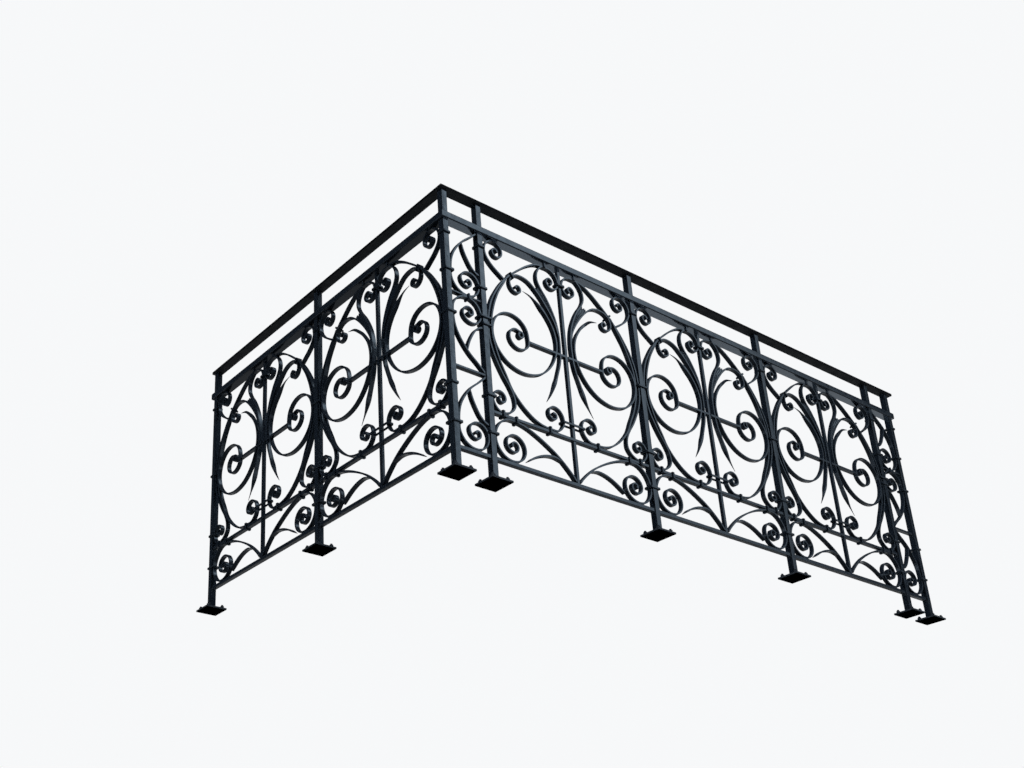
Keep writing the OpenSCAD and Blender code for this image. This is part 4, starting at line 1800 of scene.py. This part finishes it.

# Share of dust in a speck, and of the gloss that is left where shade is painted
SPECK_DUST = 0.12
PAINTED_SHADE_GLOSS = 0.06

# Streaks: noise between which they start, share of thin paint in them, share of the dents' height
STREAK_STARTS = (0.45, 0.75)
STREAK_THIN = 0.5
STREAK_RISE = 0.2

# Worn arrises, lighter, which are also painted highlights along the edges: distances on the chart
# between which the wear ends, and how worn they are between the worn spots and in them
WEAR_AND_HIGHLIGHT_ENDS = (0.06, 0.18)
WEAR_AND_HIGHLIGHT_SHARES = (0.25, 1.0)

# Rust: noise at which it starts on a rusty piece, how much more of it a piece without rust needs,
# and the noise from its start to full rust
RUST_STARTS = 0.5
RUST_RARER = 0.3
RUST_EDGE = 0.06

# Lying dust: upward part of the normal between which it starts, and its most
DUST_STARTS = (0.4, 0.95)
DUST_MOST = 0.45


@dataclass(frozen=True)
class Paint:
    """Satin paint on forged iron: blotches, brush streaks, dust, worn arrises that are also painted
    highlights, hammer marks, and painted shade on the faces that a piece marks.

    Attributes:
        name: Name of the material.
        deep: Colour where the paint is thick.
        thin: Colour where it is thin or chalky.
        dust: Colour of the dust that lies on it.
        worn_and_highlight: Colour of its arrises, worn paint that is also a painted highlight.
        rough: Roughness where it is glossiest and where it is dullest.
        gloss: Strength of its reflection.
        dents: Height of the hammer marks, in metres.
        rust: Share of the surface with rust specks, from 0 to 1.
        charted: Whether its pieces carry the chart that streaks and worn arrises follow.
    """

    name: str
    deep: Colour
    thin: Colour
    dust: Colour
    worn_and_highlight: Colour
    rough: Pair
    gloss: float
    dents: float
    rust: float = 0.0
    charted: bool = True

    def build(self) -> bpy.types.Material:
        """Make the node material.

        Returns:
            The finished material.
        """
        material = bpy.data.materials.new(self.name)
        material.use_nodes = True
        nodes = NodeTree(material.node_tree)
        place = nodes.add("ShaderNodeTexCoord").outputs["Object"]
        colour = nodes.blend(nodes.grain(place, BLOTCHES), self.deep, self.thin)
        colour = nodes.blend(nodes.grain(place, SPECKS, 0.0, SPECK_DUST), colour, self.dust)
        rough = nodes.grain(place, DULL_SPOTS, *self.rough)
        bumps = nodes.bump(nodes.noise(place, *HAMMER_MARKS), self.dents)
        # Painted shade: faces that the piece marks turn towards the deep colour and lose most of their gloss
        painted_shade = nodes.add("ShaderNodeAttribute", attribute_name="painted_shade").outputs["Fac"]
        shine = nodes.ramp(painted_shade, 0.0, 1.0, self.gloss, PAINTED_SHADE_GLOSS * self.gloss)
        if self.charted:
            chart = nodes.add("ShaderNodeUVMap", uv_map="chart").outputs["UV"]
            streak = nodes.noise(chart, *STREAKS)
            colour = nodes.blend(nodes.ramp(streak, *STREAK_STARTS, 0.0, STREAK_THIN), colour, self.thin)
            bumps = nodes.bump(streak, self.dents * STREAK_RISE, bumps)
            # Worn arrises: lighter paint along the arrises, real wear that also stands in as painted
            # highlight
            away = nodes.math("PINGPONG", nodes.parts(chart)[1], 0.5)
            worn_and_highlight = nodes.math("MULTIPLY", nodes.ramp(away, *WEAR_AND_HIGHLIGHT_ENDS, 1.0, 0.0),
                              nodes.grain(place, WORN_SPOTS, *WEAR_AND_HIGHLIGHT_SHARES))
            colour = nodes.blend(worn_and_highlight, colour, self.worn_and_highlight)
        if self.rust > 0:
            edge = RUST_STARTS + RUST_RARER * (1.0 - self.rust)
            spots = nodes.ramp(nodes.noise(place, *RUST_SPOTS), edge, edge + RUST_EDGE)
            colour = nodes.blend(spots, colour, RUST)
        upward = nodes.parts(nodes.add("ShaderNodeNewGeometry").outputs["Normal"])[2]
        lying = nodes.math("MULTIPLY", nodes.ramp(upward, *DUST_STARTS, 0.0, DUST_MOST),
                           nodes.grain(place, LYING_DUST))
        # Painted shade darkens the marked faces to the deep colour, and lying dust lies over it
        colour = nodes.blend(lying, nodes.blend(painted_shade, colour, self.deep), self.dust)
        shader = nodes.add("ShaderNodeBsdfPrincipled")
        shader.inputs["IOR"].default_value = PAINT_IOR
        shader.inputs["Specular Tint"].default_value = PAINT_TINT
        for name, socket in (("Specular IOR Level", shine), ("Base Color", colour),
                             ("Roughness", rough), ("Normal", bumps)):
            nodes.join(socket, shader.inputs[name])
        nodes.show("ShaderNodeOutputMaterial", shader.outputs["BSDF"])
        return material


PAINTS = {
    Slot.BAR: Paint(
        name=Slot.BAR.value, deep=(0.003, 0.0045, 0.007), thin=(0.006, 0.009, 0.013),
        dust=(0.022, 0.029, 0.038), worn_and_highlight=(0.030, 0.036, 0.045),
        rough=(0.12, 0.22), gloss=1.0, dents=0.0002),
    Slot.RAIL: Paint(
        name=Slot.RAIL.value, deep=(0.003, 0.003, 0.0036), thin=(0.005, 0.0055, 0.006),
        dust=(0.013, 0.013, 0.014), worn_and_highlight=(0.013, 0.013, 0.014),
        rough=(0.55, 0.75), gloss=0.05, dents=0.0002),
    Slot.COLLAR: Paint(
        name=Slot.COLLAR.value, deep=(0.003, 0.005, 0.008), thin=(0.007, 0.011, 0.015),
        dust=(0.022, 0.029, 0.038), worn_and_highlight=(0.030, 0.038, 0.048),
        rough=(0.15, 0.28), gloss=0.9, dents=0.0002),
    Slot.FOOT: Paint(
        name=Slot.FOOT.value, deep=(0.018, 0.022, 0.028), thin=(0.036, 0.042, 0.050),
        dust=(0.07, 0.07, 0.07), worn_and_highlight=(0.07, 0.07, 0.07),
        rough=(0.4, 0.65), gloss=0.35, dents=0.0004, rust=0.35, charted=False),
}


@dataclass(frozen=True)
class Softbox:
    """A soft light, which the paint doesn't mirror.

    Attributes:
        name: Name of the light.
        way: Direction in which it hangs from the middle of the railing.
        reach: How many times that far away it hangs.
        size: Width and height of its face.
        power: Watts.
        tint: Colour of the light.
    """

    name: str
    way: Triple
    reach: float
    size: Pair
    power: float
    tint: Colour

    def hang(self, middle: Vector) -> None:
        """Hang the light and point it at the railing.

        Args:
            middle: Middle of the railing.
        """
        place = middle + self.reach * Vector(self.way)
        data = bpy.data.lights.new(self.name, "AREA")
        data.shape = "RECTANGLE"
        data.size, data.size_y = self.size
        data.energy = self.power
        data.color = self.tint
        light = bpy.data.objects.new(self.name, data)
        light.location = place
        light.rotation_euler = (middle - place).to_track_quat("-Z", "Y").to_euler()
        light.visible_glossy = False
        bpy.context.scene.collection.objects.link(light)


KEY = Softbox("key", (-0.12, -0.52, 0.846), 7.5, (6.0, 6.0), 440.0, (0.94, 0.97, 1.0))
TOP = Softbox("top", (0.3, 0.6, 5.0), 1.0, (4.0, 4.0), 90.0, (1.0, 1.0, 1.0))


@dataclass(frozen=True)
class Studio:
    """Camera at the photograph's angle, soft light, and a pale floor that is clear from below.

    Attributes:
        eye: Where the camera stands.
        azimuth: Degrees that the view turns from +Y towards +X.
        elevation: Degrees that the view looks up.
        roll: Degrees that the picture is turned about the view.
        focal: Focal length in pixels of the picture.
        centre_px: Where the optical axis meets the picture, in its pixels.
        picture: Width and height of the picture in pixels.
        sensor: Width of the sensor in millimetres.
        clip: Nearest and farthest that the camera sees.
        middle: Middle of the railing, which the lights point at.
        white: Colour of the surround where it is looked at.
        given: Colour of the light that the surround gives.
        sky: Colour of the mirrored sky.
        dim: Colour of what is mirrored beside it.
        sky_opens: Turns at which the mirrored sky starts and is full.
        sky_closes: Turns at which the mirrored sky starts to fade and is gone.
        sky_fades: Strength that it has fallen to where it starts to fade out.
        sky_low: Slopes at which the mirrored sky is dimmed and is full, as the way's z.
        sky_dimmed: Strength of the mirrored sky where it is dimmed.
        floor_half: Half of the width of the floor.
        floor_tint: Colour of the floor.
        floor_fades: Distances at which the floor starts to go over into white and is white.
    """

    eye: Triple = (-2.1745, -2.4904, -1.5742)
    azimuth: float = 36.904
    elevation: float = 24.586
    roll: float = -1.387
    focal: float = 1287.3
    centre_px: Pair = (371.85, 495.85)
    picture: tuple[int, int] = (1024, 768)
    sensor: float = 36.0
    clip: Pair = (0.05, 200.0)
    middle: Triple = (0.9, 0.2, 0.5)
    white: Colour = (0.93, 0.94, 0.95)
    given: Colour = (0.15, 0.16, 0.175)
    sky: Colour = (0.90, 0.97, 1.0)
    dim: Colour = (0.030, 0.037, 0.048)
    sky_opens: Pair = (37.5, 41.0)
    sky_closes: Pair = (57.0, 58.5)
    sky_fades: float = 0.48
    sky_low: Pair = (0.33, 0.56)
    sky_dimmed: float = 0.5
    floor_half: float = 12.0
    floor_tint: Colour = (0.80, 0.80, 0.79)
    floor_fades: Pair = (3.2, 8.0)

    def camera(self) -> None:
        """Make the camera and put it in the scene."""
        data = bpy.data.cameras.new("camera")
        data.sensor_fit = "HORIZONTAL"
        data.sensor_width = self.sensor
        width, height = self.picture
        data.lens = self.focal / width * data.sensor_width
        data.shift_x = (width / 2 - self.centre_px[0]) / width
        data.shift_y = (self.centre_px[1] - height / 2) / width
        data.clip_start, data.clip_end = self.clip
        camera = bpy.data.objects.new("camera", data)
        turn = (Matrix.Rotation(math.radians(-self.azimuth), 4, "Z")
                @ Matrix.Rotation(math.radians(90 + self.elevation), 4, "X")
                @ Matrix.Rotation(math.radians(self.roll), 4, "Z"))
        camera.matrix_world = Matrix.Translation(self.eye) @ turn
        bpy.context.scene.collection.objects.link(camera)
        bpy.context.scene.camera = camera

    def world(self) -> None:
        """Show a white surround, and light the railing from one that is dim away from the sky.

        The camera sees white all round. A mirror ray sees the sky between two turns about +Z,
        counted in degrees from -Y towards +X, dimmer low down, and a darker surround elsewhere.
        """
        world = bpy.data.worlds.new("surround")
        bpy.context.scene.world = world
        world.use_nodes = True
        nodes = NodeTree(world.node_tree)
        x, y, z = nodes.parts(nodes.add("ShaderNodeTexCoord").outputs["Generated"])
        turn = nodes.math("DEGREES", nodes.math("ARCTAN2", x, nodes.math("MULTIPLY", y, -1.0)))
        full, fades = self.sky_opens[1], self.sky_closes[0]
        sky = nodes.ramp(turn, *self.sky_opens)
        for mask in (nodes.ramp(turn, *self.sky_closes, 1.0, 0.0),
                     nodes.ramp(turn, full, fades, 1.0, self.sky_fades),
                     nodes.ramp(z, *self.sky_low, self.sky_dimmed, 1.0)):
            sky = nodes.math("MULTIPLY", sky, mask)
        mirrored = nodes.blend(sky, self.dim, self.sky)
        given = nodes.blend(nodes.rays("Is Glossy Ray"), self.given, mirrored)
        clear = nodes.rays("Is Camera Ray", "Is Transmission Ray")
        surround = nodes.add("ShaderNodeBackground")
        nodes.join(nodes.blend(clear, given, self.white), surround.inputs["Color"])
        nodes.show("ShaderNodeOutputWorld", surround.outputs["Background"])

    def floor(self) -> None:
        """Lay a pale floor at z = 0 that is clear from below, because the camera looks up from there.

        Away from the railing it goes over into the white of the surround, where it is looked at.
        """
        half = self.floor_half
        corners = [(-half, -half, 0.0), (half, -half, 0.0), (half, half, 0.0), (-half, half, 0.0)]
        mesh = bpy.data.meshes.new("floor")
        mesh.from_pydata(corners, [], [(0, 1, 2, 3)])
        floor = bpy.data.objects.new("floor", mesh)
        bpy.context.scene.collection.objects.link(floor)
        material = bpy.data.materials.new("floor")
        material.use_nodes = True
        nodes = NodeTree(material.node_tree)
        pale = nodes.add("ShaderNodeBsdfDiffuse")
        pale.inputs["Color"].default_value = (*self.floor_tint, 1.0)
        white = nodes.add("ShaderNodeEmission")
        white.inputs["Color"].default_value = (*self.white, 1.0)
        reach = nodes.add("ShaderNodeVectorMath", operation="LENGTH")
        nodes.join(nodes.add("ShaderNodeTexCoord").outputs["Object"], reach.inputs[0])
        looked = nodes.rays("Is Camera Ray", "Is Transmission Ray", "Is Glossy Ray")
        far = nodes.math("MULTIPLY", looked, nodes.ramp(reach.outputs["Value"], *self.floor_fades))
        laid = nodes.mix(far, pale.outputs["BSDF"], white.outputs["Emission"])
        below = nodes.add("ShaderNodeNewGeometry").outputs["Backfacing"]
        clear = nodes.add("ShaderNodeBsdfTransparent").outputs["BSDF"]
        nodes.show("ShaderNodeOutputMaterial", nodes.mix(below, laid, clear))
        mesh.materials.append(material)

    def build(self) -> None:
        """Make the camera, the lights, the surround and the floor."""
        bpy.context.scene.view_settings.view_transform = "Standard"
        self.camera()
        for light in (KEY, TOP):
            light.hang(Vector(self.middle))
        self.world()
        self.floor()


@dataclass
class Workshop:
    """Makes the pieces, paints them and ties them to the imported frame.

    Attributes:
        paints: The finished materials by slot.
        sharp: Angle in degrees past which an edge stays sharp in the shading.
        bay_seed: What the seed of the scrolls grows by from bay to bay.
        left_seed: What it grows by on the left side.
        mirror_seed: What it grows by for the mirrored half of a bay.
        panel_seeds: Seeds of the corner panel and of the end panel.
        post_seed: Seed of the first post, from which it grows by one from post to post.
        middle_seed: What the seed of the middle bars grows by from bay to bay.
        foot_seed: What the seed of the feet grows by from foot to foot.
    """

    paints: dict[Slot, bpy.types.Material] = field(default_factory=dict)
    sharp: float = 38.0
    bay_seed: float = 3.1
    left_seed: float = 20.0
    mirror_seed: float = 1.5
    panel_seeds: Pair = (1.0, 7.0)
    post_seed: float = 1.3
    middle_seed: float = 2.7
    foot_seed: float = 2.0

    def mix(self) -> None:
        """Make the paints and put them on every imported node."""
        self.paints = {slot: paint.build() for slot, paint in PAINTS.items()}
        for part in frame["record"]["subparts"]:
            node = frame["nodes"][part["node"]]
            node.data.materials.clear()
            node.data.materials.append(self.paints[Slot(part["material_slot"])])

    def piece(self, name: str, shell: Shell, slot: Slot, nodes: Sequence[str] = (),
              painted_shade: PaintedShade | None = None) -> None:
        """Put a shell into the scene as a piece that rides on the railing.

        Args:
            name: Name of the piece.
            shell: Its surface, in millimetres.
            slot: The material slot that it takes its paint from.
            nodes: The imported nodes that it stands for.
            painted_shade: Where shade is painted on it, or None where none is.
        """
        mesh = bpy.data.meshes.new(name)
        mesh.from_pydata((shell.points * MM).tolist(), [], shell.quads.tolist())
        chart = mesh.uv_layers.new(name="chart")
        chart.data.foreach_set("uv", shell.chart.ravel())
        if painted_shade is not None:
            # Share of painted shade on each face, which the paint darkens and dulls
            mesh.attributes.new("painted_shade", "FLOAT", "FACE").data.foreach_set("value", shell.painted_shade_share(painted_shade))
        mesh.polygons.foreach_set("use_smooth", np.ones(len(shell.quads), bool))
        mesh.set_sharp_from_angle(angle=math.radians(self.sharp))
        mesh.materials.append(self.paints[slot])
        made = bpy.data.objects.new(name, mesh)
        bpy.context.scene.collection.objects.link(made)
        even = made.modifiers.new("even_shading", "WEIGHTED_NORMAL")
        even.keep_sharp = True
        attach(made, "root")
        if nodes:
            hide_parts(*nodes)
        LOG.info("%s: %d faces", name, len(shell.quads))

    def dress(self, work: str, node: str, shell: Shell, slot: Slot = Slot.BAR,
              painted_shade: PaintedShade | None = PaintedShade.UNDER) -> None:
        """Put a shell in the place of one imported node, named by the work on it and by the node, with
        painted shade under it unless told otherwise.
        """
        self.piece(f"{work}_{node}", shell, slot, [node], painted_shade)

    def scrollwork(self) -> None:
        """Forge the scrolls and the band of every wide bay, and the narrow panels."""
        pitch = SIZES.bay_pitch
        for side in Side:
            for i, start in enumerate(SIZES.starts(side), 1):
                seed = self.bay_seed * i + (self.left_seed if side is Side.LEFT else 0.0)
                for work, half in (("scrolls", WideHalf), ("band_scrolls", BandHalf)):
                    other = half(seed + self.mirror_seed).shell().mirrored(pitch)
                    bars = side.place(Shell.joined([half(seed).shell(), other]), start)
                    self.dress("forged", f"{work}_{side.value}_{i}", bars)
        corner, end = (NarrowPanel(seed).shell() for seed in self.panel_seeds)
        self.dress("forged", "corner_panel", corner)
        self.dress("forged", "end_panel", end.mirrored(SIZES.front_end))

    def uprights(self) -> None:
        """Make the posts and the middle bars."""
        # Posts and middle bars get painted shade along their arrises and under them
        for i, (name, (side, along)) in enumerate(Posts().places().items()):
            post = side.place(Posts().shell(self.post_seed + i), along)
            self.dress("forged", name, post, painted_shade=PaintedShade.ARRIS)
        for side in Side:
            for i, start in enumerate(SIZES.starts(side), 1):
                bar = side.place(Rails().middle_bar(self.middle_seed * i), start)
                self.dress("forged", f"centre_bar_{side.value}_{i}", bar, painted_shade=PaintedShade.ARRIS)

    def rails(self) -> None:
        """Make the handrail, the second rail, the lower rail and the bottom rail of both sides."""
        s, rails = SIZES, Rails()
        ends = ((Side.FRONT, s.front_end, s.hand_overrun), (Side.LEFT, s.left_end, s.rail_overrun))
        for side, end, overrun in ends:
            post_end = end + s.post_w / 2
            tag, starts = side.value, s.starts(side)
            hand = side.place(rails.hand(post_end + overrun))
            self.dress("rolled", f"handrail_{tag}", hand, Slot.RAIL, None)
            second = side.place(rails.mid(post_end + s.rail_overrun))
            # Painted shade along the arrises of the front second rail, and under the left one
            painted_shade = PaintedShade.ARRIS if side is Side.FRONT else PaintedShade.UNDER
            self.dress("rolled", f"mid_rail_{tag}", second, painted_shade=painted_shade)
            lower = side.place(rails.flats(starts, s.bay_pitch, s.lower_z, s.lower_rail_h))
            self.dress("rolled", f"lower_rail_{tag}", lower)
            bottom = rails.flats(starts, s.bay_pitch, s.bottom_z, s.bottom_rail_h)
            if side is Side.FRONT:
                narrow = [0.0, s.front_end - s.narrow_pitch]
                more = rails.flats(narrow, s.narrow_pitch, s.bottom_z, s.bottom_rail_h)
                bottom = Shell.joined([bottom, more])
            self.dress("rolled", f"bottom_rail_{tag}", side.place(bottom))

    def fittings(self) -> None:
        """Make the collars and clips, and the anchors of the feet."""
        collars = Collars()
        for place, make in (("front", collars.front), ("left", collars.left), ("corner", collars.corner)):
            self.dress("bent", f"collars_{place}", make(), Slot.COLLAR)
        feet = [side.place(Anchors().foot(self.foot_seed * i), along)
                for i, (side, along) in enumerate(Posts().places().values())]
        self.piece("anchors_and_welds", Shell.joined(feet), Slot.FOOT)


def main() -> None:
    """Build the studio, then make and report each piece of the railing."""
    logging.basicConfig(level=logging.INFO, format="%(message)s")
    Studio().build()
    workshop = Workshop()
    workshop.mix()
    workshop.scrollwork()
    workshop.uprights()
    workshop.rails()
    workshop.fittings()


if __name__ == "__main__":
    main()
